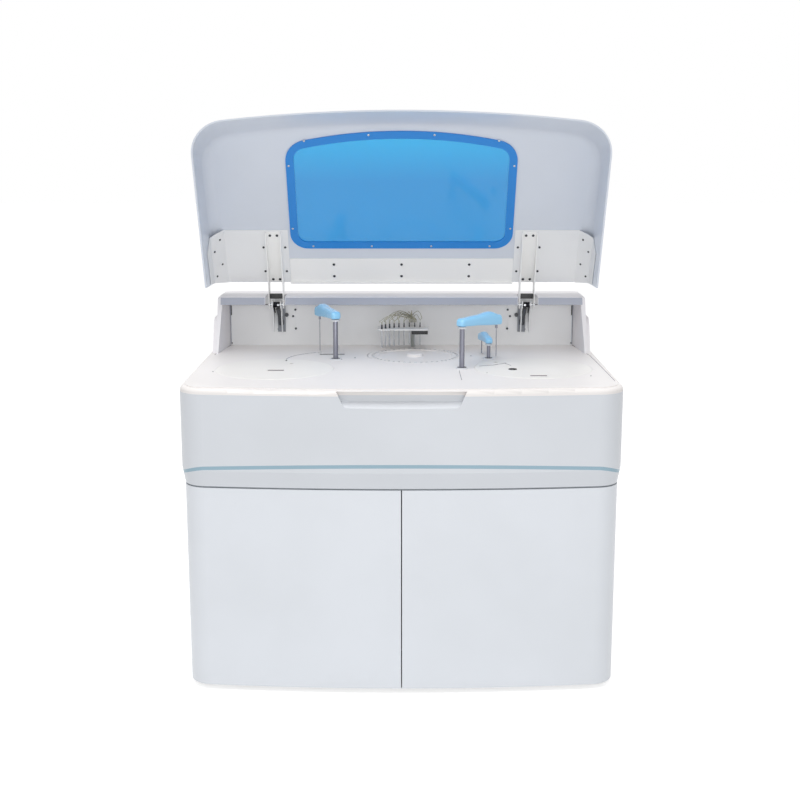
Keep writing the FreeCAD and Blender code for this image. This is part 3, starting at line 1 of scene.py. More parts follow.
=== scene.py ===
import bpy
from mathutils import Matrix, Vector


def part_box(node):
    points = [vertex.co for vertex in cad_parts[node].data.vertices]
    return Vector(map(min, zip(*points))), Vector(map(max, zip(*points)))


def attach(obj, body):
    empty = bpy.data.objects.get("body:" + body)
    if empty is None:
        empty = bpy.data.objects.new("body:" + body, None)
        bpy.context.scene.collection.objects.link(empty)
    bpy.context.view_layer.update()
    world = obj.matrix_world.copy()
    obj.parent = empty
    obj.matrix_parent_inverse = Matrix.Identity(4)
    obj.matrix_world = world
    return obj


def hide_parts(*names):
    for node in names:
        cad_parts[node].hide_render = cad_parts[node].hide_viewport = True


bl_info = {
    "name": "Chemistry Analyzer",
    "version": (1, 0, 0),
    "blender": (4, 5, 0),
    "location": "3D View > Sidebar > Analyzer",
    "description": "Dresses the chemistry analyzer with its finishes and small parts",
    "category": "Object",
}

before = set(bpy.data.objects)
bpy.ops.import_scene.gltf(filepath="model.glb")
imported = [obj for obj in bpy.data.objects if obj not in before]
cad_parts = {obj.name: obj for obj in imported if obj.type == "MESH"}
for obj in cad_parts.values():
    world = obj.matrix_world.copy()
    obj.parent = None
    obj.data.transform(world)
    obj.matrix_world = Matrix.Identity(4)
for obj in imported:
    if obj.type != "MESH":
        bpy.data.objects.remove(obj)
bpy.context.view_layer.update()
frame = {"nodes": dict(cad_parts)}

import math

import bmesh
import bpy
from bpy.props import FloatProperty, FloatVectorProperty, IntProperty, PointerProperty
from mathutils import Matrix, Vector

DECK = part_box("deck_cover")[1].z
PIVOT = Vector((0.0, 0.306, 1.0065))
LID_OPEN = -65
LID_TILT = 4.5
HINGE_X = 0.4
FAN_X, FAN_Z = 0.3, 0.43
DISK_X, DISK_Y = 0.042, 0.149
SIGNS = (-1, 1)
# Arms: name, post, reach, turn at rest, height of the cover over the deck, scale
ARMS = (
    ("sample", -0.200, 0.065, 0.150, 112, 0.124, 1.0),
    ("reagent", 0.176, -0.095, 0.1485, 44, 0.124, 1.0),
    ("mixer", 0.265, 0.074, 0.105, 98, 0.049, 0.75),
)


def linear(code):
    """Linear colour of a hex code as seen on a screen."""
    values = [int(code[i:i + 2], 16) / 255 for i in (0, 2, 4)]
    values = [v / 12.92 if v <= 0.04045 else ((v + 0.055) / 1.055) ** 2.4 for v in values]
    return (*values, 1.0)


def colour_setting(name, description, code):
    return FloatVectorProperty(name=name, description=description, subtype="COLOR", size=4,
                               min=0.0, max=1.0, default=linear(code))


def size_setting(name, description, size):
    return FloatProperty(name=name, description=description, default=size, min=0.0,
                         precision=5, subtype="DISTANCE", unit="LENGTH")


class AnalyzerFinishes(bpy.types.PropertyGroup):
    """Paints, plastics and metals of the analyzer."""

    shell: colour_setting("Shell white", "Moulded housing and doors", "dee2e8")
    deck: colour_setting("Deck white", "Moulded deck cover", "ece8e6")
    metal: colour_setting("Painted metal", "Panels, stands and lid plates", "f2f3f4")
    lid: colour_setting("Lid white", "Moulded lid shell", "dbe1eb")
    accent: colour_setting("Accent", "Strip under the upper housing", "93b0bf")
    frame: colour_setting("Frame paint", "Base frame and shelf", "8d9399")
    window: colour_setting("Window frame", "Moulded frame round the window", "2088dc")
    pane: colour_setting("Window pane", "Tinted acrylic pane", "4acaff")
    arm: colour_setting("Arm blue", "Moulded arm covers", "90cdf4")
    cover: colour_setting("Disk cover", "Round covers flush with the deck", "eeebe7")
    black: colour_setting("Black plastic", "Blocks, fan and inlet", "1b1c1f")
    wash: colour_setting("Wash grey", "Post of the wash station", "a4a8a5")
    grain: size_setting("Grain", "Depth of the moulded grain", 0.00006)


class AnalyzerHardware(bpy.types.PropertyGroup):
    """Sizes of screws, springs and tubes."""

    head_radius: size_setting("Head radius", "Pan head of the screws", 0.0034)
    head_height: size_setting("Head height", "Rise of the pan head", 0.0018)
    spring_turns: FloatProperty(name="Spring turns", description="Turns of each hinge spring",
                                default=6.0, min=1.0, max=20.0)
    spring_wire: size_setting("Spring wire", "Radius of the spring wire", 0.0016)
    spring_radius: size_setting("Spring radius", "Middle of the spring wire", 0.0074)
    tube_radius: size_setting("Tube radius", "Clear tubes of the wash head", 0.0013)
    guard_rings: IntProperty(name="Guard rings", description="Rings of the fan guard",
                             default=6, min=2, max=12)


class AnalyzerStudio(bpy.types.PropertyGroup):
    """Camera and light of the picture."""

    lens: FloatProperty(name="Lens", description="Focal length in millimetres", default=57.47)
    key_power: FloatProperty(name="Key lamp", description="Lamp above the front", default=128.0,
                             min=0.0, unit="POWER")
    fill_power: FloatProperty(name="Fill lamp", description="Lamp behind the camera",
                              default=48.0, min=0.0, unit="POWER")
    sky: FloatProperty(name="Sky", description="Even light from all round", default=0.58,
                       min=0.0, max=2.0, subtype="FACTOR")
    white: colour_setting("Backdrop", "Floor and backdrop", "ffffff")


# Node groups shared by the finishes

def feed(tree, value, socket):
    """Link a socket, or set a plain value."""
    if isinstance(value, bpy.types.NodeSocket):
        tree.links.new(value, socket)
    else:
        socket.default_value = value


def add(tree, kind, inputs=(), **settings):
    """New node with its settings, its inputs given by name or number."""
    node = tree.nodes.new(kind)
    for key, value in settings.items():
        setattr(node, key, value)
    for key, value in dict(inputs).items():
        feed(tree, value, node.inputs[key])
    return node


def start_tree(name, kind, inputs, outputs):
    """New group of nodes; gives its tree, its inputs and its outputs."""
    tree = bpy.data.node_groups.new(name, kind)
    for way, sockets in (("INPUT", inputs), ("OUTPUT", outputs)):
        for label, socket_kind, *value in sockets:
            socket = tree.interface.new_socket(name=label, in_out=way,
                                               socket_type="NodeSocket" + socket_kind)
            if value:
                socket.default_value = value[0]
    return tree, tree.nodes.new("NodeGroupInput").outputs, tree.nodes.new("NodeGroupOutput").inputs


def noise(tree, vector, scale, detail=2.0, rough=0.5):
    return add(tree, "ShaderNodeTexNoise", {"Vector": vector, "Scale": scale, "Detail": detail,
                                            "Roughness": rough}).outputs["Fac"]


def maths(tree, kind, first, second=0.0, third=0.0):
    return add(tree, "ShaderNodeMath", {0: first, 1: second, 2: third},
               operation=kind).outputs["Value"]


def spread(tree, value, low, high, out_low=0.0, out_high=1.0):
    """Map a value from one span to another, clamped."""
    return add(tree, "ShaderNodeMapRange", {
        "Value": value, "From Min": low, "From Max": high, "To Min": out_low,
        "To Max": out_high}).outputs["Result"]


def start_skin(name, inputs):
    """Group of a finish, from a place to a colour, a roughness and a height."""
    return start_tree(name, "ShaderNodeTree", [
        ("Vector", "Vector"), *inputs, ("Roughness Low", "Float"), ("Roughness High", "Float")],
        [("Colour", "Color"), ("Roughness", "Float"), ("Height", "Float")])


def end_skin(tree, given, made, colours, uneven, span, height):
    """Blend two colours by a share, and spread the roughness over a span."""
    share, first, second = colours
    blend = add(tree, "ShaderNodeMix", data_type="RGBA")
    for value, key in ((share, "Factor"), (given[first], 6), (given[second], 7)):
        feed(tree, value, blend.inputs[key])
    tree.links.new(blend.outputs[2], made["Colour"])
    tree.links.new(spread(tree, uneven, *span, given["Roughness Low"], given["Roughness High"]),
                   made["Roughness"])
    tree.links.new(height, made["Height"])


def group_moulded():
    """Moulded plastic: fine grain, faint cloudiness and a few rubbed places."""
    tree, given, made = start_skin("Moulded Skin", [
        ("Colour", "Color"), ("Worn Colour", "Color"), ("Cloud Scale", "Float", 2.5),
        ("Cloud Share", "Float", 0.35), ("Grain Scale", "Float", 900.0),
        ("Soil Height", "Float", 0.0)])
    vector = given["Vector"]
    cloud = noise(tree, vector, given["Cloud Scale"], 3.0, 0.55)
    cloud_mask = maths(tree, "MULTIPLY", spread(tree, cloud, 0.4, 0.75), given["Cloud Share"])
    rubbed = spread(tree, noise(tree, vector, 23.0, 5.0, 0.7), 0.66, 0.78, 0.0, 0.25)
    split = add(tree, "ShaderNodeSeparateXYZ", {"Vector": vector})
    # Patchy darkening towards the bottom, fading out at the given height.
    foot = spread(tree, split.outputs["Z"], 0.0, given["Soil Height"], 0.35, 0.0)
    low_patches = maths(tree, "MULTIPLY", foot, spread(tree, noise(tree, vector, 14.0, 4.0), 0.35, 0.7))
    share = maths(tree, "MAXIMUM", maths(tree, "MAXIMUM", cloud_mask, rubbed), low_patches)
    grain = noise(tree, vector, given["Grain Scale"], 2.0, 0.6)
    uneven = maths(tree, "ADD", maths(tree, "MULTIPLY", cloud, 0.7),
                   maths(tree, "MULTIPLY", grain, 0.3))
    height = maths(tree, "ADD", grain, maths(tree, "MULTIPLY", cloud, 0.4))
    end_skin(tree, given, made, (share, "Colour", "Worn Colour"), uneven, (0.3, 0.7), height)


def group_coat():
    """Powder coat: orange peel with tiny specks."""
    tree, given, made = start_skin("Powder Coat", [
        ("Colour", "Color"), ("Speck Colour", "Color"), ("Peel Scale", "Float"),
        ("Speck Share", "Float")])
    vector = given["Vector"]
    peel = add(tree, "ShaderNodeTexVoronoi", {"Vector": vector, "Scale": given["Peel Scale"]},
               feature="SMOOTH_F1").outputs["Distance"]
    fine = maths(tree, "MULTIPLY", given["Peel Scale"], 2.6)
    speck = spread(tree, noise(tree, vector, fine), 0.6, 0.7)
    cloud = noise(tree, vector, 4.0, 3.0)
    share = maths(tree, "MULTIPLY", maths(tree, "ADD", speck, spread(tree, cloud, 0.4, 0.8)),
                  given["Speck Share"])
    end_skin(tree, given, made, (share, "Colour", "Speck Colour"),
             maths(tree, "ADD", peel, cloud), (0.4, 1.3), peel)


def group_drawn():
    """Drawn or turned metal: streaks along the stretched axis."""
    tree, given, made = start_skin("Drawn Metal", [
        ("Colour", "Color"), ("Streak Colour", "Color"), ("Streak Scale", "Float")])
    streak = noise(tree, given["Vector"], given["Streak Scale"], 4.0, 0.65)
    stain = noise(tree, given["Vector"], 6.0, 3.0)
    end_skin(tree, given, made, (spread(tree, streak, 0.35, 0.7), "Colour", "Streak Colour"),
             maths(tree, "ADD", streak, stain), (0.7, 1.3), streak)


def group_tint():
    """Tinted sheet: colour that deepens along the sheet, with faint streaks."""
    tree, given, made = start_skin("Tinted Sheet", [
        ("Upper Colour", "Color"), ("Lower Colour", "Color"), ("Low Height", "Float"),
        ("High Height", "Float")])
    split = add(tree, "ShaderNodeSeparateXYZ", {"Vector": given["Vector"]})
    cloud = noise(tree, given["Vector"], 3.0, 2.0)
    level = spread(tree, split.outputs["Z"], given["Low Height"], given["High Height"])
    share = maths(tree, "ADD", level, maths(tree, "MULTIPLY_ADD", cloud, 0.12, -0.06))
    end_skin(tree, given, made, (share, "Lower Colour", "Upper Colour"),
             noise(tree, given["Vector"], 60.0, 3.0), (0.3, 0.7), cloud)


def finish(name, group, low, high, values, bump, stretch=(1, 1, 1), **shader_values):
    """Material whose colour, roughness span and bump come from a shared group."""
    material = bpy.data.materials.new(name)
    material.use_nodes = True
    tree = material.node_tree
    place = tree.nodes.new("ShaderNodeTexCoord").outputs["Object"]
    turn = add(tree, "ShaderNodeMapping", {"Vector": place, "Scale": stretch})
    pattern = add(tree, "ShaderNodeGroup", {
        "Vector": turn.outputs["Vector"], "Roughness Low": low, "Roughness High": high, **values},
        node_tree=bpy.data.node_groups[group]).outputs
    relief = add(tree, "ShaderNodeBump", {"Strength": 0.6, "Distance": bump,
                                          "Height": pattern["Height"]})
    shader = tree.nodes["Principled BSDF"].inputs
    feed(tree, pattern["Colour"], shader["Base Color"])
    feed(tree, pattern["Roughness"], shader["Roughness"])
    feed(tree, relief.outputs["Normal"], shader["Normal"])
    for key, value in shader_values.items():
        shader[key.replace("_", " ")].default_value = value
    material.diffuse_color = values.get("Colour", (0.5, 0.5, 0.5, 1))
    return material


def plain(colour):
    """A colour's four values, from a setting or from its code."""
    return linear(colour) if isinstance(colour, str) else tuple(colour)


def shade(colour, factor, blue=1.0):
    """A darker or lighter neighbour of a colour."""
    red, green, blue_part, _ = plain(colour)
    return (red * factor, green * factor, min(1.0, blue_part * factor * blue), 1.0)


def moulded(name, colour, grain, low=0.3, high=0.42, low_patches=0.0, **shader_values):
    return finish(name, "Moulded Skin", low, high, {
        "Colour": plain(colour), "Worn Colour": shade(colour, 0.86, 0.99), "Soil Height": low_patches},
        bump=grain, **shader_values)


def coated(name, colour, share=0.22, low=0.4, high=0.55):
    return finish(name, "Powder Coat", low, high, {
        "Colour": plain(colour), "Speck Colour": shade(colour, 0.84), "Speck Share": share,
        "Peel Scale": 420.0}, bump=0.00008)


def drawn(name, colour, stretch=(1, 1, 0.04), low=0.2, high=0.36):
    return finish(name, "Drawn Metal", low, high, {
        "Colour": plain(colour), "Streak Colour": shade(colour, 0.7), "Streak Scale": 300.0},
        stretch=stretch, bump=0.00003, Metallic=1.0)


FINISHES = {}


def make_finishes(settings):
    """Every finish by name; most carry the name of the record's slot."""
    grain = settings.grain
    FINISHES.update({
        "white_shell": moulded("Door White", settings.shell, grain, low_patches=0.12, Coat_Weight=0.12),
        "fascia_white": moulded("Fascia White", shade(settings.shell, 0.9), grain,
                                Coat_Weight=0.12),
        "riser_white": coated("Riser Powder Coat", "e9e7ea"),
        "lid_metal": coated("Lid Powder Coat", "fbfbfa"),
        "lid_white": moulded("Lid White", settings.lid, grain, 0.32, 0.44, Coat_Weight=0.08),
        "white_deck": moulded("Deck White", settings.deck, grain, 0.36, 0.5),
        "white_metal": coated("White Powder Coat", settings.metal),
        "accent": moulded("Accent Grey Blue", settings.accent, grain * 0.5, 0.25, 0.35),
        "frame_paint": coated("Frame Paint", settings.frame, 0.4),
        "steel": drawn("Bright Steel", "c9ccd0"),
        "post_steel": drawn("Ground Post Steel", "8f909c", (1, 1, 0.03), 0.25, 0.4),
        "dark_spring": drawn("Blackened Spring Steel", "33343a", (1, 1, 1), 0.3, 0.45),
        "dark_screw": drawn("Dark Zinc", "4d5055", (1, 1, 1), 0.3, 0.5),
        "window_blue": moulded("Window Frame Blue", settings.window, grain),
        "pane_blue": finish("Window Pane Blue", "Tinted Sheet", 0.06, 0.14, {
            "Upper Colour": tuple(settings.pane), "Lower Colour": linear("4eb0ee"),
            "Low Height": 1.4, "High Height": 1.52}, bump=0.0002, Transmission_Weight=0.6),
        "arm_blue": moulded("Arm Blue", settings.arm, grain * 0.6, 0.22, 0.34, Coat_Weight=0.3),
        "disk_cover": finish("Turned Disk Cover", "Moulded Skin", 0.34, 0.46, {
            "Colour": tuple(settings.cover), "Worn Colour": shade(settings.cover, 0.9),
            "Cloud Scale": 6.0}, bump=grain),
        "rotor": moulded("Rotor White", "ebe7e5", grain, 0.35, 0.5),
        "clear_cup": moulded("Clear Cuvette", "e9f1f4", grain * 0.2, 0.05, 0.12,
                             Transmission_Weight=0.75),
        "clear_tube": moulded("Clear Tube", "cdcbb6", grain * 0.1, 0.1, 0.2,
                              Transmission_Weight=0.4),
        "drive_grey": coated("Drive Grey", "6c7177", 0.4),
        "tank": moulded("Translucent Tank", "dfe4df", grain, 0.35, 0.5,
                        Subsurface_Weight=0.2),
        "cap_blue": moulded("Cap Blue", "2c62a8", grain),
        "black_plastic": moulded("Black Plastic", settings.black, grain, 0.34, 0.5),
        # Black for the painted shade round the pick port.
        "port_shade_black": moulded("Port Shade Black", "090909", grain, 0.6, 0.75),
        "aluminium": coated("Satin Aluminium", "b4b7ba", 0.3, 0.32, 0.45),
        # Grey for the painted shade on the hinge stands.
        "stand_painted_shade": coated("Stand Painted Shade", "8b8f96", 0.35, 0.4, 0.55),
        # Dark grey of the dampers and post wipers, also used for the painted shadow line on the
        # back panel.
        "damper_grey": coated("Damper Grey", "4a4d52", 0.3, 0.35, 0.5),
        "wash_grey": moulded("Wash Grey", settings.wash, grain * 0.5),
        "wash_white": moulded("Wash Head White", "dcdcdc", grain * 0.5, 0.25, 0.4),
        "bush_white": moulded("Bush White", "d4d6db", grain, 0.4, 0.55),
        # Grey for the painted shade on the riser's lip and in its end joints.
        "painted_shade_grey": moulded("Painted Shade Grey", "adb1bd", grain, 0.5, 0.65),
        # Grey of the deck grooves, also used as painted shade in the grip recesses.
        "groove_and_shade_grey": moulded("Groove And Painted Shade Grey", "857e84", grain, 0.5, 0.65),
    })


# Meshes and pieces

def linked(name, data):
    """New object in the scene from its data."""
    made = bpy.data.objects.new(name, data)
    bpy.context.scene.collection.objects.link(made)
    return made


def show(name, mesh, body, slot, paint=None, replaced=()):
    """Object at the origin from a mesh already in place, riding on its body."""
    mesh.validate()
    piece = linked(name, mesh)
    mesh.materials.clear()
    mesh.materials.append(FINISHES[paint or slot])
    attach(piece, body)
    if replaced:
        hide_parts(*replaced)


def closed_mesh(name, maker, smooth=35.0):
    """Mesh from a bmesh maker, its doubles merged and its faces turned outwards."""
    mesh = bpy.data.meshes.new(name)
    shape = bmesh.new()
    maker(shape)
    bmesh.ops.remove_doubles(shape, verts=shape.verts, dist=1e-6)
    bmesh.ops.recalc_face_normals(shape, faces=shape.faces)
    shape.to_mesh(mesh)
    shape.free()
    soften(mesh, smooth)
    return mesh


def show_made(name, maker, body, slot, paint=None):
    show(name, closed_mesh(name, maker), body, slot, paint)


def soften(mesh, degrees):
    """Smooth shading, kept sharp over a given angle."""
    mesh.shade_smooth()
    mesh.set_sharp_from_angle(angle=math.radians(degrees))


def skin(shape, rings):
    """Faces from each ring of points to the next; a ring may be a single point."""
    steps = max(len(ring) for ring in rings)
    for low, high in zip(rings, rings[1:]):
        for i in range(steps):
            j = (i + 1) % steps
            if len(low) == 1:
                shape.faces.new((low[0], high[j], high[i]))
            elif len(high) == 1:
                shape.faces.new((low[i], low[j], high[0]))
            else:
                shape.faces.new((low[i], low[j], high[j], high[i]))


def lathe(shape, profile, place, steps=48):
    """Closed turned form from a profile of (radius, height), moved by a vector or matrix."""
    place = place if isinstance(place, Matrix) else Matrix.Translation(place)
    rings = []
    for radius, height in profile:
        if radius < 1e-7:
            rings.append([shape.verts.new(place @ Vector((0, 0, height)))])
            continue
        rings.append([shape.verts.new(place @ Vector((
            radius * math.cos(2 * math.pi * i / steps),
            radius * math.sin(2 * math.pi * i / steps), height))) for i in range(steps)])
    skin(shape, rings)


def slab(shape, low, high, bevel):
    """Block with softened edges between two corners."""
    low, high = Vector(low), Vector(high)
    made = bmesh.ops.create_cube(shape, size=1.0)["verts"]
    middle, size = (low + high) / 2, high - low
    for vert in made:
        vert.co = Vector((middle[i] + vert.co[i] * size[i] for i in range(3)))
    edges = {edge for vert in made for edge in vert.link_edges}
    bmesh.ops.bevel(shape, geom=list(edges), offset=min(bevel, min(size) * 0.45), segments=3,
                    profile=0.6, affect="EDGES")


def wide_slab(shape, x, half, span_y, span_z, bevel):
    """Block as wide to the left of x as to the right."""
    slab(shape, (x - half, span_y[0], span_z[0]), (x + half, span_y[1], span_z[1]), bevel)


def rod(shape, start, end, radius, steps=24):
    """Round rod between two points with softened ends."""
    start, end = Vector(start), Vector(end)
    along = end - start
    length, soft = along.length, min(radius * 0.25, 0.0008)
    place = Matrix.Translation(start) @ along.to_track_quat("Z", "Y").to_matrix().to_4x4()
    lathe(shape, [(0, 0), (radius - soft, 0), (radius, soft), (radius, length - soft),
                  (radius - soft, length), (0, length)], place, steps)


def upright(shape, x, y, low, high, radius, steps):
    """Standing rod between two heights."""
    rod(shape, (x, y, low), (x, y, high), radius, steps)


def arc_points(centre, radius, start, end, level, steps=40):
    """Points on a level arc, angles in degrees."""
    angles = [math.radians(start + (end - start) * i / steps) for i in range(steps + 1)]
    return [(centre[0] + radius * math.cos(angle), centre[1] + radius * math.sin(angle), level)
            for angle in angles]


def turned_about(axis, degrees, place=(0, 0, 0)):
    return Matrix.Translation(place) @ Matrix.Rotation(math.radians(degrees), 4, axis)


def lid_place():
    """From the lid panel's own frame to the open lid."""
    return (turned_about("X", LID_OPEN, PIVOT) @ Matrix.Translation(-PIVOT)
            @ turned_about("X", LID_TILT, (0, -0.295, 1.018)))


def joined(name, meshes):
    """One mesh from several, each already in its place."""
    shape = bmesh.new()
    for mesh in meshes:
        shape.from_mesh(mesh)
        bpy.data.meshes.remove(mesh)
    mesh = bpy.data.meshes.new(name)
    shape.to_mesh(mesh)
    shape.free()
    return mesh


# Geometry node trees

def start_geometry(name, inputs):
    """New geometry tree with an incoming mesh, named inputs and a finish."""
    return start_tree(name, "GeometryNodeTree", [
        ("Geometry", "Geometry"), *inputs, ("Finish", "Material")], [("Geometry", "Geometry")])


def finish_geometry(tree, result, given, made):
    """End a tree in realized instances and its finish."""
    real = add(tree, "GeometryNodeRealizeInstances", {"Geometry": result})
    paint = add(tree, "GeometryNodeSetMaterial", {"Geometry": real.outputs["Geometry"],
                                                  "Material": given["Finish"]})
    tree.links.new(paint.outputs["Geometry"], made["Geometry"])


def swept(tree, curve, radius, sides, given, made):
    """End a tree in a round, closed tube along its curve."""
    ring = add(tree, "GeometryNodeCurvePrimitiveCircle", {"Resolution": sides, "Radius": radius})
    tube = add(tree, "GeometryNodeCurveToMesh", {
        "Curve": curve, "Profile Curve": ring.outputs["Curve"], "Fill Caps": True})
    finish_geometry(tree, tube.outputs["Mesh"], given, made)


def tree_scatter():
    """Copies of one part on points, each turned by a fixed chance."""
    tree, given, made = start_geometry("Placed Copies", [
        ("Part", "Object"), ("Part Scale", "Float", 1.0), ("Turn Range", "Float", 3.1),
        ("Seed", "Int", 3)])
    points = add(tree, "GeometryNodeMeshToPoints", {"Mesh": given["Geometry"]})
    part = add(tree, "GeometryNodeObjectInfo", {"Object": given["Part"]})
    chance = add(tree, "FunctionNodeRandomValue", {3: given["Turn Range"], "Seed": given["Seed"]},
                 data_type="FLOAT")
    turn = add(tree, "ShaderNodeCombineXYZ", {"Z": chance.outputs[1]})
    copies = add(tree, "GeometryNodeInstanceOnPoints", {
        "Points": points.outputs["Points"], "Instance": part.outputs["Geometry"],
        "Rotation": turn.outputs["Vector"], "Scale": given["Part Scale"]})
    finish_geometry(tree, copies.outputs["Instances"], given, made)


def tree_coil():
    """Coiled round wire."""
    tree, given, made = start_geometry("Coiled Wire", [
        ("Turns", "Float"), ("Coil Radius", "Float"), ("Length", "Float"),
        ("Wire Radius", "Float")])
    coil = add(tree, "GeometryNodeCurveSpiral", {
        "Resolution": 28, "Rotations": given["Turns"], "Start Radius": given["Coil Radius"],
        "End Radius": given["Coil Radius"], "Height": given["Length"]})
    swept(tree, coil.outputs["Curve"], given["Wire Radius"], 12, given, made)


def tree_tube():
    """Round tube along the incoming edges."""
    tree, given, made = start_geometry("Tube Along Edges", [
        ("Tube Radius", "Float"), ("Smoothing", "Int"), ("Sides", "Int")])
    path = add(tree, "GeometryNodeMeshToCurve", {"Mesh": given["Geometry"]})
    kind = add(tree, "GeometryNodeCurveSplineType", {"Curve": path.outputs["Curve"]},
               spline_type="CATMULL_ROM")
    steps = add(tree, "GeometryNodeSetSplineResolution", {
        "Geometry": kind.outputs["Curve"], "Resolution": given["Smoothing"]})
    swept(tree, steps.outputs["Geometry"], given["Tube Radius"], given["Sides"], given, made)


def run_tree(tree_name, mesh, values):
    """Mesh that a geometry tree makes of a mesh, with its inputs set by identifier."""
    obj = linked("working_shape", mesh)
    modifier = obj.modifiers.new("shape", "NODES")
    modifier.node_group = bpy.data.node_groups[tree_name]
    for item in modifier.node_group.interface.items_tree:
        if item.item_type == "SOCKET" and item.in_out == "INPUT" and item.name in values:
            modifier[item.identifier] = values[item.name]
    graph = bpy.context.evaluated_depsgraph_get()
    graph.update()
    mesh = bpy.data.meshes.new_from_object(obj.evaluated_get(graph))
    bpy.data.objects.remove(obj)
    return mesh


def plain_mesh(points, edges=()):
    mesh = bpy.data.meshes.new("points")
    mesh.from_pydata([tuple(point) for point in points], list(edges), [])
    return mesh


def tubes(paths, radius, paint, sides=12, smoothing=4):
    """Round tubes along lists of points."""
    verts, edges = [], []
    for path in paths:
        first = len(verts)
        verts += path
        edges += [(first + i, first + i + 1) for i in range(len(path) - 1)]
    mesh = run_tree("Tube Along Edges", plain_mesh(verts, edges), {
        "Tube Radius": radius, "Smoothing": smoothing, "Sides": sides,
        "Finish": FINISHES[paint]})
    soften(mesh, 50)
    return mesh


def pan_head(radius, height):
    """Pan head with a crossed recess, standing up from z = 0."""
    def make(shape):
        lathe(shape, [(0, 0), (radius, 0), (radius, height * 0.35), (radius * 0.92, height * 0.7),
                      (radius * 0.72, height * 0.93), (radius * 0.5, height), (0, height)],
              (0, 0, 0), 24)
        arm, half = radius * 0.5, radius * 0.11
        for turn in (0, 90):
            spin = turned_about("Z", turn)
            corners = [(-arm, -half), (arm, -half), (arm, half), (-arm, half)]
            top = [shape.verts.new(spin @ Vector((x, y, height * 1.015))) for x, y in corners]
            low = [shape.verts.new(spin @ Vector((x * 0.7, y, height * 0.6))) for x, y in corners]
            shape.faces.new(top)
            shape.faces.new(low[::-1])
            for i in range(4):
                j = (i + 1) % 4
                shape.faces.new((low[i], low[j], top[j], top[i]))
    return closed_mesh("pan_head", make)


def head_copies(spots, paint, place, scale=1.0, seed=3, flip=False):
    """Screw heads on spots, by the scatter tree, moved to their place."""
    hardware = bpy.context.scene.analyzer_hardware
    part = linked("head_part", pan_head(hardware.head_radius, hardware.head_height))
    mesh = run_tree("Placed Copies", plain_mesh(spots), {
        "Part": part, "Part Scale": scale, "Seed": seed, "Finish": FINISHES[paint]})
    bpy.data.objects.remove(part)
    if flip:
        mesh.transform(Matrix.Diagonal((1, 1, -1, 1)))
        mesh.flip_normals()
    mesh.transform(place)
    soften(mesh, 35)
    return mesh


# Operators

NODE_FINISHES = {
    "white_shell": "left_door right_door",
    "fascia_white": "upper_housing",
    "lid_white": "lid_shell",
    "white_deck": "deck_cover",
    "riser_white": "riser_cover",
    "white_metal": "left_side_panel right_side_panel rear_panel floor_plate riser_back_panel "
                   "left_hinge_stand right_hinge_stand left_lid_plate right_lid_plate",
    "lid_metal": "lid_cross_bar left_lid_arm right_lid_arm",
    "accent": "accent_strip",
    "frame_paint": "base_frame mid_shelf",
    "steel": "wash_nozzles door_pivots hinge_pins levelling_feet lid_screws window_screws",
    "post_steel": "sample_arm_post reagent_arm_post mixer_arm_post sample_probe reagent_probe "
                  "mixer_paddle",
    "dark_spring": "hinge_springs",
    "window_blue": "window_frame",
    "pane_blue": "window_pane",
    "arm_blue": "sample_arm_cover reagent_arm_cover mixer_arm_cover",
    "disk_cover": "sample_disk_cover reagent_disk_cover",
    "rotor": "sample_rotor reagent_rotor reaction_disk",
    "clear_cup": "cuvettes",
    "drive_grey": "drive_units",
    "tank": "fluid_tanks",
    "cap_blue": "tank_caps",
    "black_plastic": "power_inlet rocker_switch fan_frame fan_impeller",
    "bush_white": "sample_arm_bush reagent_arm_bush mixer_arm_bush",
    "aluminium": "electronics_box syringe_pump syringe_plunger",
    "wash_grey": "wash_post",
    "wash_white": "wash_head",
}


class ANALYZER_OT_finishes(bpy.types.Operator):
    """Give every solid of the frame its finish"""

    bl_idname = "analyzer.finishes"
    bl_label = "Finishes"

    def execute(self, context):
        for make_tree in (group_moulded, group_coat, group_drawn, group_tint, tree_scatter,
                          tree_coil, tree_tube):
            make_tree()
        make_finishes(context.scene.analyzer_finishes)
        for paint, nodes in NODE_FINISHES.items():
            for node in nodes.split():
                mesh = frame["nodes"][node].data
                if not mesh.materials:
                    mesh.materials.append(FINISHES[paint])
                for i in range(len(mesh.materials)):
                    mesh.materials[i] = FINISHES[paint]
        return {"FINISHED"}


class ANALYZER_OT_window_screws(bpy.types.Operator):
    """Pan head screws round the window frame"""

    bl_idname = "analyzer.window_screws"
    bl_label = "Window screws"

    def execute(self, context):
        seat, band, half, front, length, arch = 0.004, 0.009, 0.347, 0.008, 0.412, 0.032
        spots = []
        for share in (-0.83, -0.28, 0.28, 0.83):
            spots.append((half * share, front + band + arch * share * share, seat))
            spots.append((half * share * 0.96, front + length - band, seat))
        for sign in SIGNS:
            for share in (0.28, 0.82):
                spots.append((sign * (half - band), front + length * share, seat))
        mesh = head_copies(spots, "steel", lid_place(), flip=True)
        show("window_screw_heads", mesh, "lid", "steel", replaced=("window_screws",))
        return {"FINISHED"}


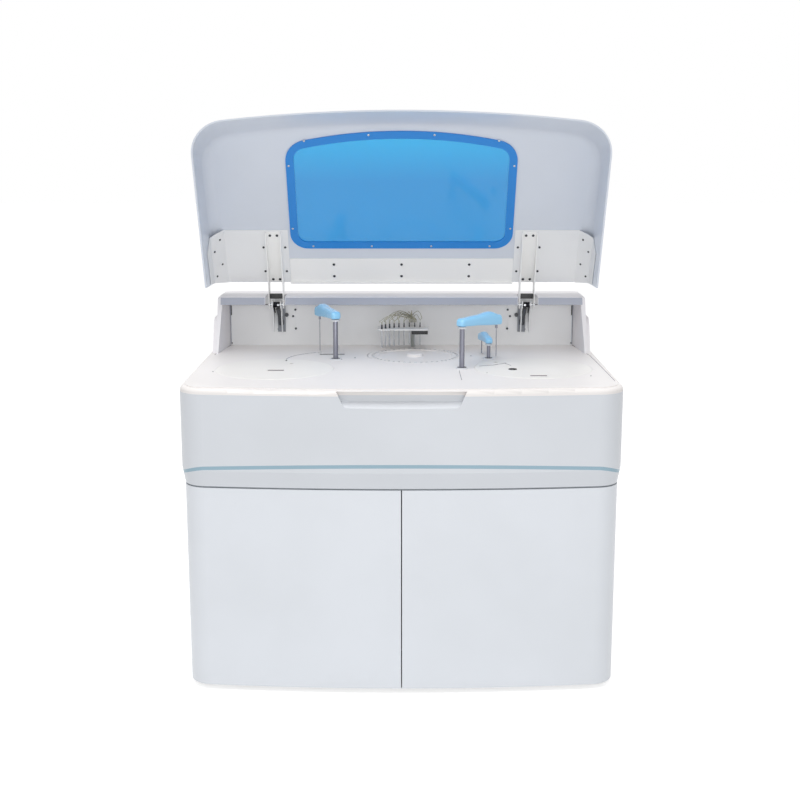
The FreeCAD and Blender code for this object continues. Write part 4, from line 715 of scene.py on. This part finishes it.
class ANALYZER_OT_lid_screws(bpy.types.Operator):
    """Pan head screws on the plates, the cross bar and the channels"""

    bl_idname = "analyzer.lid_screws"
    bl_label = "Lid screws"

    def execute(self, context):
        sheet, channel = 0.002, 0.0045
        spots = [(x, y, sheet) for x in (-0.215, 0.0, 0.215) for y in (0.482, 0.527)]
        spots += [(sign * HINGE_X + x, y, channel) for sign in SIGNS for y in (0.371, 0.537)
                  for x in (-0.011, 0.011)]
        mesh = head_copies(spots, "dark_screw", lid_place(), 1.25, flip=True)
        show("lid_screw_heads", mesh, "lid", "steel", "dark_screw", ("lid_screws",))
        spots = [(sign * (HINGE_X + x), y, sheet) for sign in SIGNS for x in (-0.034, 0.034)
                 for y in (0.4167, 0.5077)]
        mesh = head_copies(spots, "dark_screw", lid_place(), 1.1, 5, True)
        show("plate_screw_heads", mesh, "lid", "steel", "dark_screw")
        fold_x, fold_angle = 0.554, 45.7
        spots = ((0.018, 0.38), (0.018, 0.472), (0.043, 0.413), (0.043, 0.506))
        meshes = []
        for sign in SIGNS:
            fold = lid_place() @ turned_about("Y", sign * fold_angle, (sign * fold_x, 0, -sheet))
            points = [(sign * x, y, 0) for x, y in spots]
            meshes.append(head_copies(points, "dark_screw", fold, seed=9, flip=True))
        show("flange_screw_heads", joined("flange_heads", meshes), "lid", "steel", "dark_screw")
        return {"FINISHED"}


class ANALYZER_OT_hinge_springs(bpy.types.Operator):
    """Coil springs round the hinge pins, with their legs on the stands"""

    bl_idname = "analyzer.hinge_springs"
    bl_label = "Hinge springs"

    def execute(self, context):
        hardware = context.scene.analyzer_hardware
        wire, reach, length = hardware.spring_wire, hardware.spring_radius, 0.02
        leg = ((0, 0, 0), (0, 0.018, -0.006), (0, 0.036, -0.016), (0, 0.0435, -0.024))
        meshes = []
        for sign in SIGNS:
            centre = Vector((sign * HINGE_X, PIVOT.y, PIVOT.z))
            coil = run_tree("Coiled Wire", plain_mesh([(0, 0, 0)]), {
                "Turns": hardware.spring_turns, "Coil Radius": reach, "Length": length,
                "Wire Radius": wire, "Finish": FINISHES["dark_spring"]})
            coil.transform(turned_about("Y", 90, centre - Vector((length / 2, 0, 0))))
            starts = [centre + Vector((side * length / 2, reach * 0.2, -reach)) for side in SIGNS]
            legs = [[start + Vector(step) for step in leg] for start in starts]
            meshes += [coil, tubes(legs, wire, "dark_spring")]
        mesh = joined("hinge_coils", meshes)
        soften(mesh, 50)
        show("hinge_coils", mesh, "cabinet", "dark_spring", replaced=("hinge_springs",))
        return {"FINISHED"}


class ANALYZER_OT_hinge_dampers(bpy.types.Operator):
    """Dark dampers in the hinge stands, grey plates of painted shade on the stands, pin ends, stop
    blocks in the channels and stand screws
    """

    bl_idname = "analyzer.hinge_dampers"
    bl_label = "Hinge dampers"

    def execute(self, context):
        def dampers(shape):
            for sign in SIGNS:
                top, foot, bolt = (sign * (HINGE_X - inset) for inset in (0.0045, 0.0095, 0.0275))
                rod(shape, (top, 0.3165, 0.994), (foot, 0.3435, 0.95), 0.0075)
                rod(shape, (foot, 0.3425, 0.9515), (foot, 0.3475, 0.9375), 0.0088)
                rod(shape, (bolt, 0.3525, 0.968), (bolt, 0.3435, 0.968), 0.0062)
        show_made("hinge_dampers", dampers, "cabinet", "dark_spring", "damper_grey")

        # Grey plates on the hinge stands: painted shade, where the stands' ears fall in shade
        # below the flanges.
        def shade_plates(shape):
            for x in (-0.389, 0.389):
                wide_slab(shape, x, 0.0125, (0.3492, 0.3537), (0.9125, 0.9985), 0.001)
        show_made("damper_brackets", shade_plates, "cabinet", "grey_panel", "stand_painted_shade")

        def pin_ends(shape):
            for x in (-0.3945, 0.3945):
                rod(shape, (x, 0.3035, PIVOT.z), (x, 0.2935, PIVOT.z), 0.0038)
        show_made("pin_ends", pin_ends, "cabinet", "steel")

        def blocks(shape):
            for x in (-HINGE_X, HINGE_X):
                wide_slab(shape, x, 0.0208, (0.299, 0.3165), (1.0262, 1.0418), 0.0012)
                wide_slab(shape, x + 0.0115, 0.003, (0.2972, 0.3), (1.0275, 1.0402), 0.0008)
        show_made("hinge_stop_blocks", blocks, "lid", "black_plastic")
        spots = ((-0.3447, 0.9841), (-0.3522, 0.9629), (-0.3437, 0.9223), (-0.3995, 0.9205))
        points = [(sign * x, z, 0) for sign in SIGNS for x, z in spots]
        mesh = head_copies(points, "dark_screw", turned_about("X", 90, (0, 0.354, 0)), 1.05, 7)
        show("stand_screw_heads", mesh, "cabinet", "steel", "dark_screw")
        return {"FINISHED"}


class ANALYZER_OT_riser_shade(bpy.types.Operator):
    """Painted shade on the riser's lip and end joints, a painted shadow line along its back
    panel's top, painted shade of the slots at the joints' tops, and black pins
    """

    bl_idname = "analyzer.riser_seals"
    bl_label = "Riser shade and pins"

    def execute(self, context):
        def stretches(end):
            """The riser's width, left open at the two hinges."""
            return (-end, -0.4325), (-0.3675, 0.3675), (0.4325, end)

        # Dark strip along the back panel's top edge: a painted shadow line, where the riser's top
        # and the panel's proud edge cast shade.
        def top_shadow_line(shape):
            for low, high in stretches(0.557):
                slab(shape, (low, 0.3548, 0.9995), (high, 0.3573, 1.0017), 0.0004)
        show_made("panel_top_joint", top_shadow_line, "cabinet", "grey_panel", "damper_grey")

        # Grey strip along the front face of the riser's lip: painted shade of the lip, not a real
        # seal.
        def lip_shade(shape):
            foot_y, rise, lean = 0.176, 0.1452, math.tan(math.radians(26))
            for low, high in stretches(0.5715):
                slab(shape, (low, -0.0011, 0.0), (high, 0.0006, 0.0212), 0.0005)
            for vert in shape.verts:
                vert.co.z += DECK + rise
                vert.co.y += foot_y + (vert.co.z - DECK) * lean
        show_made("riser_lip_seal", lip_shade, "cabinet", "grey_panel", "painted_shade_grey")

        # Thin grey strips in the joints between the back panel and the riser's cheeks: painted
        # shade in the gaps.
        def end_joint_shade(shape):
            for x in (-0.5549, 0.5549):
                wide_slab(shape, x, 0.0011, (0.3553, 0.3575), (0.8715, 1.0325), 0.0004)
        show_made("panel_end_joints", end_joint_shade, "cabinet", "grey_panel", "painted_shade_grey")

        # Upright black blocks at the tops of the end joints: painted shade of the slots there. The
        # round pins are black plastic.
        def slot_shades_and_pins(shape):
            for x in (-0.5527, 0.5527):
                wide_slab(shape, x, 0.0016, (0.3546, 0.3572), (0.966, 0.9975), 0.0006)
                rod(shape, (x, 0.3578, 0.8745), (x, 0.3548, 0.8745), 0.002)
            rod(shape, (0.1564, 0.3578, 1.0006), (0.1564, 0.3552, 1.0006), 0.002)
        show_made("panel_latches", slot_shades_and_pins, "cabinet", "black_plastic")
        return {"FINISHED"}


class ANALYZER_OT_arm_covers(bpy.types.Operator):
    """Soft moulded covers of the three arms"""

    bl_idname = "analyzer.arm_covers"
    bl_label = "Arm covers"

    def execute(self, context):
        for name, x, y, reach, turn, level, scale in ARMS:
            mesh = closed_mesh(name, lambda shape: self.cover(shape, reach, scale), 55)
            mesh.transform(turned_about("Z", turn, (x, y, DECK + level)))
            arm = f"{name}_arm"
            show(f"{arm}_hood", mesh, arm, "arm_blue", replaced=(f"{arm}_cover",))

            def collar(shape):
                outer = 0.0128 if scale == 1 else 0.0104
                inner, drop = outer - 0.0022, 0.0066
                lathe(shape, [(inner, 0.0), (outer, 0.0008), (outer, 0.0052), (inner, 0.0062),
                              (inner, 0.0)], (x, y, DECK + level - drop))
            show_made(f"{arm}_collar", collar, arm, "white_deck", "bush_white")
        return {"FINISHED"}

    def level(self, keys, x):
        """Smooth value between keyed stations."""
        for (x0, v0), (x1, v1) in zip(keys, keys[1:]):
            if x <= x1:
                share = (x - x0) / (x1 - x0)
                return v0 + (v1 - v0) * share * share * (3 - 2 * share)
        return keys[-1][1]

    def cover(self, shape, reach, scale):
        """Hood along x from behind its post to past its probe."""
        start, end, steps, sides = -0.0148, reach + 0.0155, 44, 36
        top = [(start, 0.0185), (-0.006, 0.0235), (reach - 0.09, 0.0275),
               (reach - 0.034, 0.0338), (reach + 0.006, 0.0225), (end, 0.017)]
        low = [(start, 0.0004), (0.014, 0.0001), (0.03, -0.0009), (reach + 0.01, -0.0078),
               (end, -0.005)]
        rings = []
        for i in range(steps + 1):
            x = start + (end - start) * (0.5 - 0.5 * math.cos(math.pi * i / steps))
            edge = min(x - start, end - x) / 0.012
            narrow = math.sqrt(max(0.0, 1 - (1 - min(1.0, edge)) ** 2))
            half = 0.015 * (0.35 + 0.65 * narrow)
            high, base = self.level(top, x), self.level(low, x)
            middle = (high + base) / 2
            tall = (high - base) / 2 * (0.72 + 0.28 * narrow)
            ring = []
            for k in range(sides):
                angle = 2 * math.pi * k / sides
                c, s = math.cos(angle), math.sin(angle)
                across = math.copysign(abs(c) ** (0.52 if s > 0 else 0.3), c) * half
                if s > 0:
                    across *= 1 - 0.16 * s
                rise = math.copysign(abs(s) ** 0.5, s) * tall
                ring.append(shape.verts.new((x, across * scale, (middle + rise) * scale)))
            rings.append(ring)
        skin(shape, rings)
        shape.faces.new(rings[0])
        shape.faces.new(rings[-1][::-1])


class ANALYZER_OT_wash_tubes(bpy.types.Operator):
    """Clear tubes from the wash nozzles over to their manifold"""

    bl_idname = "analyzer.wash_tubes"
    bl_label = "Wash tubes"

    def execute(self, context):
        radius = context.scene.analyzer_hardware.tube_radius
        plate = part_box("wash_head")[1].z
        tops, ends = [], []
        for i in range(9):
            angle = math.radians(82.5 + 7.5 * i)
            for side in SIGNS:
                ring = 0.131 + 0.00155 * side
                tops.append((DISK_X + ring * math.cos(angle), DISK_Y + ring * math.sin(angle)))
                ends.append((0.0275 + 0.00235 * i, 0.322 + 0.004 * side))
        paths = []
        for k, ((x, y), (end_x, end_y)) in enumerate(zip(tops, ends)):
            lift = 0.03 + 0.013 * ((k * 5) % 7) / 6
            lean = 0.006 * math.sin(k * 2.1)
            across, back = end_x - x, end_y - y
            paths.append([
                (x, y, plate + 0.0135), (x, y, plate + 0.022),
                (x + lean, y + 0.004, plate + lift * 0.75),
                (x + across * 0.35 + lean, y + back * 0.4, plate + lift + 0.008),
                (x + across * 0.75, y + back * 0.8, plate + lift * 0.85),
                (end_x, end_y, plate + 0.02), (end_x, end_y, plate + 0.0075)])
        mesh = tubes(paths, radius * 0.62, "clear_tube", 8, 5)
        show("wash_tubes", mesh, "wash_lift", "clear_cup", "clear_tube")

        def collars(shape):
            for x, y in tops:
                upright(shape, x, y, plate + 0.0003, plate + 0.0062, 0.0019, 12)
                upright(shape, x, y, plate + 0.006, plate + 0.0142, 0.0014, 12)
        show_made("nozzle_collars", collars, "wash_lift", "black_plastic", "dark_screw")

        def manifold(shape):
            slab(shape, (0.0245, 0.3135, plate + 0.0002), (0.0495, 0.3305, plate + 0.0085), 0.0012)
            for x, y in ends:
                upright(shape, x, y, plate + 0.008, plate + 0.0105, 0.0011, 10)
        show_made("wash_manifold", manifold, "wash_lift", "wash_grey", "wash_white")

        def block_cover(shape):
            slab(shape, (0.0315, 0.2252, plate - 0.0162), (0.0831, 0.2262, plate - 0.0045), 0.0004)
        show_made("wash_block_cover", block_cover, "wash_lift", "black_plastic")
        return {"FINISHED"}


class ANALYZER_OT_deck_marks(bpy.types.Operator):
    """Grooves, pins and post wipers of the deck, with painted shade in its slot, round its pick
    port and in its grips
    """

    bl_idname = "analyzer.deck_marks"
    bl_label = "Deck marks"

    def execute(self, context):
        thin, post, reach = DECK + 0.00005, ARMS[0][1:3], ARMS[0][3]
        edge = [(0.5555, 0.353, thin), (0.569, 0.25, thin), (0.5815, 0.155, thin)]
        lines = [
            arc_points(post, reach, 117, 171, thin),
            [(0.1668, -0.126, thin), (0.1669, -0.2, thin), (0.1672, -0.2784, thin)],
            edge,
            [(0.5835, 0.145, thin), (0.588, -0.08, thin), (0.5905, -0.294, thin)],
            [(-x, y, z) for x, y, z in edge],
        ]
        show("deck_grooves", tubes(lines, 0.0008, "groove_and_shade_grey", 8, 1), "cabinet", "white_deck",
             "groove_and_shade_grey")
        cover = DECK + 0.0012
        lines = [
            arc_points(post, reach, 172.5, 189, cover, 12),
            [(0.2293, -0.0560, cover), (0.2693, -0.0422, cover), (0.3129, -0.0037, cover)],
            [(0.3064, -0.0034, cover), (0.3235, -0.0492, cover + 0.0001)],
        ]
        show("cover_grooves", tubes(lines, 0.0007, "groove_and_shade_grey", 8, 1), "cabinet", "disk_cover",
             "groove_and_shade_grey")

        def slot_and_pins(shape):
            low, high = DECK - 0.0004, DECK + 0.0012
            # The slot is a black inlay standing proud of the deck: painted shade of a slot.
            slab(shape, (-0.2545, 0.1612, low), (-0.1775, 0.1668, high), 0.0003)
            for x, y, radius in ((-0.1828, 0.0711, 0.0024), (-0.1425, 0.0953, 0.0024),
                                 (0.5355, -0.2158, 0.0018), (-0.5426, -0.1476, 0.0016)):
                upright(shape, x, y, low, high, radius, 16)
            upright(shape, -0.3479, 0.0399, DECK + 0.0004, DECK + 0.0022, 0.003, 16)
            for x, y in ((0.2146, 0.1312), (0.2448, -0.1673)):
                upright(shape, x, y, DECK - 0.0002, DECK + 0.0014, 0.0014, 16)
        show_made("deck_slot_and_pins", slot_and_pins, "cabinet", "black_plastic")

        # Black ring round the pick port's hole: painted shade that widens the dark of the hole.
        def port_shade_ring(shape):
            outer, inner = 0.0125, 0.0061
            lathe(shape, [(inner, 0.0), (outer, 0.0), (outer, 0.0012), (outer - 0.0008, 0.0021),
                          (inner + 0.0004, 0.0021), (inner, 0.0017), (inner, 0.0)],
                  (0.3230, -0.1131, DECK + 0.0007))
        show_made("pick_port_ring", port_shade_ring, "cabinet", "black_plastic", "port_shade_black")

        def wipers(shape):
            for _, x, y, _, _, _, scale in ARMS:
                inner, outer = (0.0108, 0.0135) if scale == 1 else (0.0089, 0.0112)
                lathe(shape, [(inner, 0.0), (outer, 0.0), (outer, 0.0006), (inner, 0.0012),
                              (inner, 0.0)], (x, y, DECK + 0.0039))
        show_made("post_wipers", wipers, "cabinet", "black_plastic", "damper_grey")

        # Grey strips on the far walls of the grip recesses: painted shade, where those walls fall
        # in shade.
        def grip_shade_strips(shape):
            for x, y in ((-0.364, -0.130), (0.388, -0.218)):
                wide_slab(shape, x, 0.0236, (y + 0.0082, y + 0.00895),
                          (DECK - 0.0013, DECK + 0.0011), 0.0003)
        show_made("grip_shades", grip_shade_strips, "cabinet", "disk_cover", "groove_and_shade_grey")
        return {"FINISHED"}


class ANALYZER_OT_fan_guard(bpy.types.Operator):
    """Wire guard over the fan opening"""

    bl_idname = "analyzer.fan_guard"
    bl_label = "Fan guard"

    def execute(self, context):
        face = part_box("rear_panel")[1].y + 0.0016
        rings, spokes = context.scene.analyzer_hardware.guard_rings, 4
        paths = []
        for k in range(rings):
            ring = arc_points((FAN_X, FAN_Z), 0.053 * (k + 1) / rings, 0, 360, face, 48)
            paths.append([(x, y, z) for x, z, y in ring])
        for k in range(spokes):
            angle = math.pi * (k + 0.5) / spokes
            x, z = math.cos(angle) * 0.0535, math.sin(angle) * 0.0535
            paths.append([(FAN_X + way * x, face - 0.0012, FAN_Z + way * z) for way in SIGNS])
        show("fan_guard", tubes(paths, 0.0009, "steel", 8, 1), "cabinet", "steel")
        return {"FINISHED"}


class ANALYZER_OT_rear_screws(bpy.types.Operator):
    """Screws round the rear panel and the fan"""

    bl_idname = "analyzer.rear_screws"
    bl_label = "Rear screws"

    def execute(self, context):
        face, fan_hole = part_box("rear_panel")[1].y, 0.0625
        spots = [(sign * 0.542, z) for sign in SIGNS for z in (0.04, 0.2, 0.36, 0.52, 0.68, 0.83)]
        spots += [(x, z) for x in (-0.36, -0.18, 0.0, 0.18, 0.36) for z in (0.03, 0.838)]
        spots += [(FAN_X + a * fan_hole, FAN_Z + b * fan_hole) for a in SIGNS for b in SIGNS]
        mesh = head_copies([(x, -z, 0) for x, z in spots], "steel",
                           turned_about("X", -90, (0, face, 0)), seed=11)
        show("rear_screw_heads", mesh, "cabinet", "steel")
        return {"FINISHED"}


class ANALYZER_OT_stage(bpy.types.Operator):
    """Floor, light and camera of the picture"""

    bl_idname = "analyzer.stage"
    bl_label = "Stage"

    def execute(self, context):
        scene, studio = context.scene, context.scene.analyzer_studio
        mesh = bpy.data.meshes.new("floor")
        mesh.from_pydata([(-30, -30, 0), (30, -30, 0), (30, 30, 0), (-30, 30, 0)], [],
                         [(0, 1, 2, 3)])
        mesh.materials.append(self.floor_material(studio))
        floor = linked("studio_floor", mesh)
        self.world(scene, studio)
        self.lamp("key_lamp", (-0.5, -1.6, 5.0), (0, 0, 0.8), 3.4, studio.key_power)
        self.lamp("fill_lamp", (0.4, -5.4, 1.3), (0, 0, 1.1), 3.0, studio.fill_power)
        data = bpy.data.cameras.new("camera")
        data.lens = studio.lens
        data.sensor_width = 36
        data.shift_x = -0.0019
        data.clip_end = 200
        camera = linked("camera", data)
        camera.location = (0, -3.768, 1.508)
        camera.rotation_euler = (math.radians(78.71), 0, 0)
        scene.camera = camera
        scene.view_settings.view_transform = "Standard"
        return {"FINISHED"}

    def lamp(self, name, place, aim, size, power):
        data = bpy.data.lights.new(name, "AREA")
        data.shape = "DISK"
        data.size = size
        data.energy = power
        lamp = linked(name, data)
        lamp.location = place
        lamp.rotation_euler = (Vector(aim) - Vector(place)).to_track_quat("-Z", "Y").to_euler()

    def seen(self, tree):
        """Mask of the rays that see the backdrop itself."""
        rays = tree.nodes.new("ShaderNodeLightPath").outputs
        mirror = maths(tree, "MAXIMUM", rays["Is Glossy Ray"], rays["Is Transmission Ray"])
        return maths(tree, "MAXIMUM", rays["Is Camera Ray"], mirror)

    def floor_material(self, studio):
        material = bpy.data.materials.new("Studio Floor")
        material.use_nodes = True
        tree = material.node_tree
        tree.nodes.remove(tree.nodes["Principled BSDF"])
        soft = add(tree, "ShaderNodeBsdfDiffuse", {"Color": linear("e6e6e6")})
        power = maths(tree, "MULTIPLY", self.seen(tree), 0.6)
        glow = add(tree, "ShaderNodeEmission", {"Color": tuple(studio.white), "Strength": power})
        both = add(tree, "ShaderNodeAddShader", {0: soft.outputs["BSDF"],
                                                 1: glow.outputs["Emission"]})
        tree.links.new(both.outputs["Shader"], tree.nodes["Material Output"].inputs["Surface"])
        return material

    def world(self, scene, studio):
        world = bpy.data.worlds.new("Studio")
        scene.world = world
        world.use_nodes = True
        tree = world.node_tree
        back = tree.nodes["Background"].inputs
        back["Color"].default_value = (1, 1, 1, 1)
        feed(tree, spread(tree, self.seen(tree), 0.0, 1.0, studio.sky, 1.0), back["Strength"])


class ANALYZER_PT_sidebar(bpy.types.Panel):
    """Lists the steps that dress the analyzer"""

    bl_idname = "ANALYZER_PT_sidebar"
    bl_label = "Chemistry Analyzer"
    bl_space_type = "VIEW_3D"
    bl_region_type = "UI"
    bl_category = "Analyzer"

    def draw(self, context):
        layout = self.layout
        for group in SETTINGS:
            settings = getattr(context.scene, group)
            box = layout.box()
            for key in settings.__annotations__:
                box.prop(settings, key)
        for operator in OPERATORS:
            layout.operator(operator.bl_idname)


OPERATORS = (
    ANALYZER_OT_stage,
    ANALYZER_OT_finishes,
    ANALYZER_OT_window_screws,
    ANALYZER_OT_lid_screws,
    ANALYZER_OT_hinge_springs,
    ANALYZER_OT_hinge_dampers,
    ANALYZER_OT_riser_shade,
    ANALYZER_OT_arm_covers,
    ANALYZER_OT_wash_tubes,
    ANALYZER_OT_deck_marks,
    ANALYZER_OT_fan_guard,
    ANALYZER_OT_rear_screws,
)

SETTINGS = {
    "analyzer_finishes": AnalyzerFinishes,
    "analyzer_hardware": AnalyzerHardware,
    "analyzer_studio": AnalyzerStudio,
}

CLASSES = (*SETTINGS.values(), *OPERATORS, ANALYZER_PT_sidebar)


def register():
    for item in CLASSES:
        bpy.utils.register_class(item)
    for name, group in SETTINGS.items():
        setattr(bpy.types.Scene, name, PointerProperty(type=group))


def unregister():
    for name in SETTINGS:
        delattr(bpy.types.Scene, name)
    for item in reversed(CLASSES):
        bpy.utils.unregister_class(item)


def main():
    register()
    for operator in OPERATORS:
        area, name = operator.bl_idname.split(".")
        getattr(getattr(bpy.ops, area), name)()


if __name__ == "__main__":
    main()
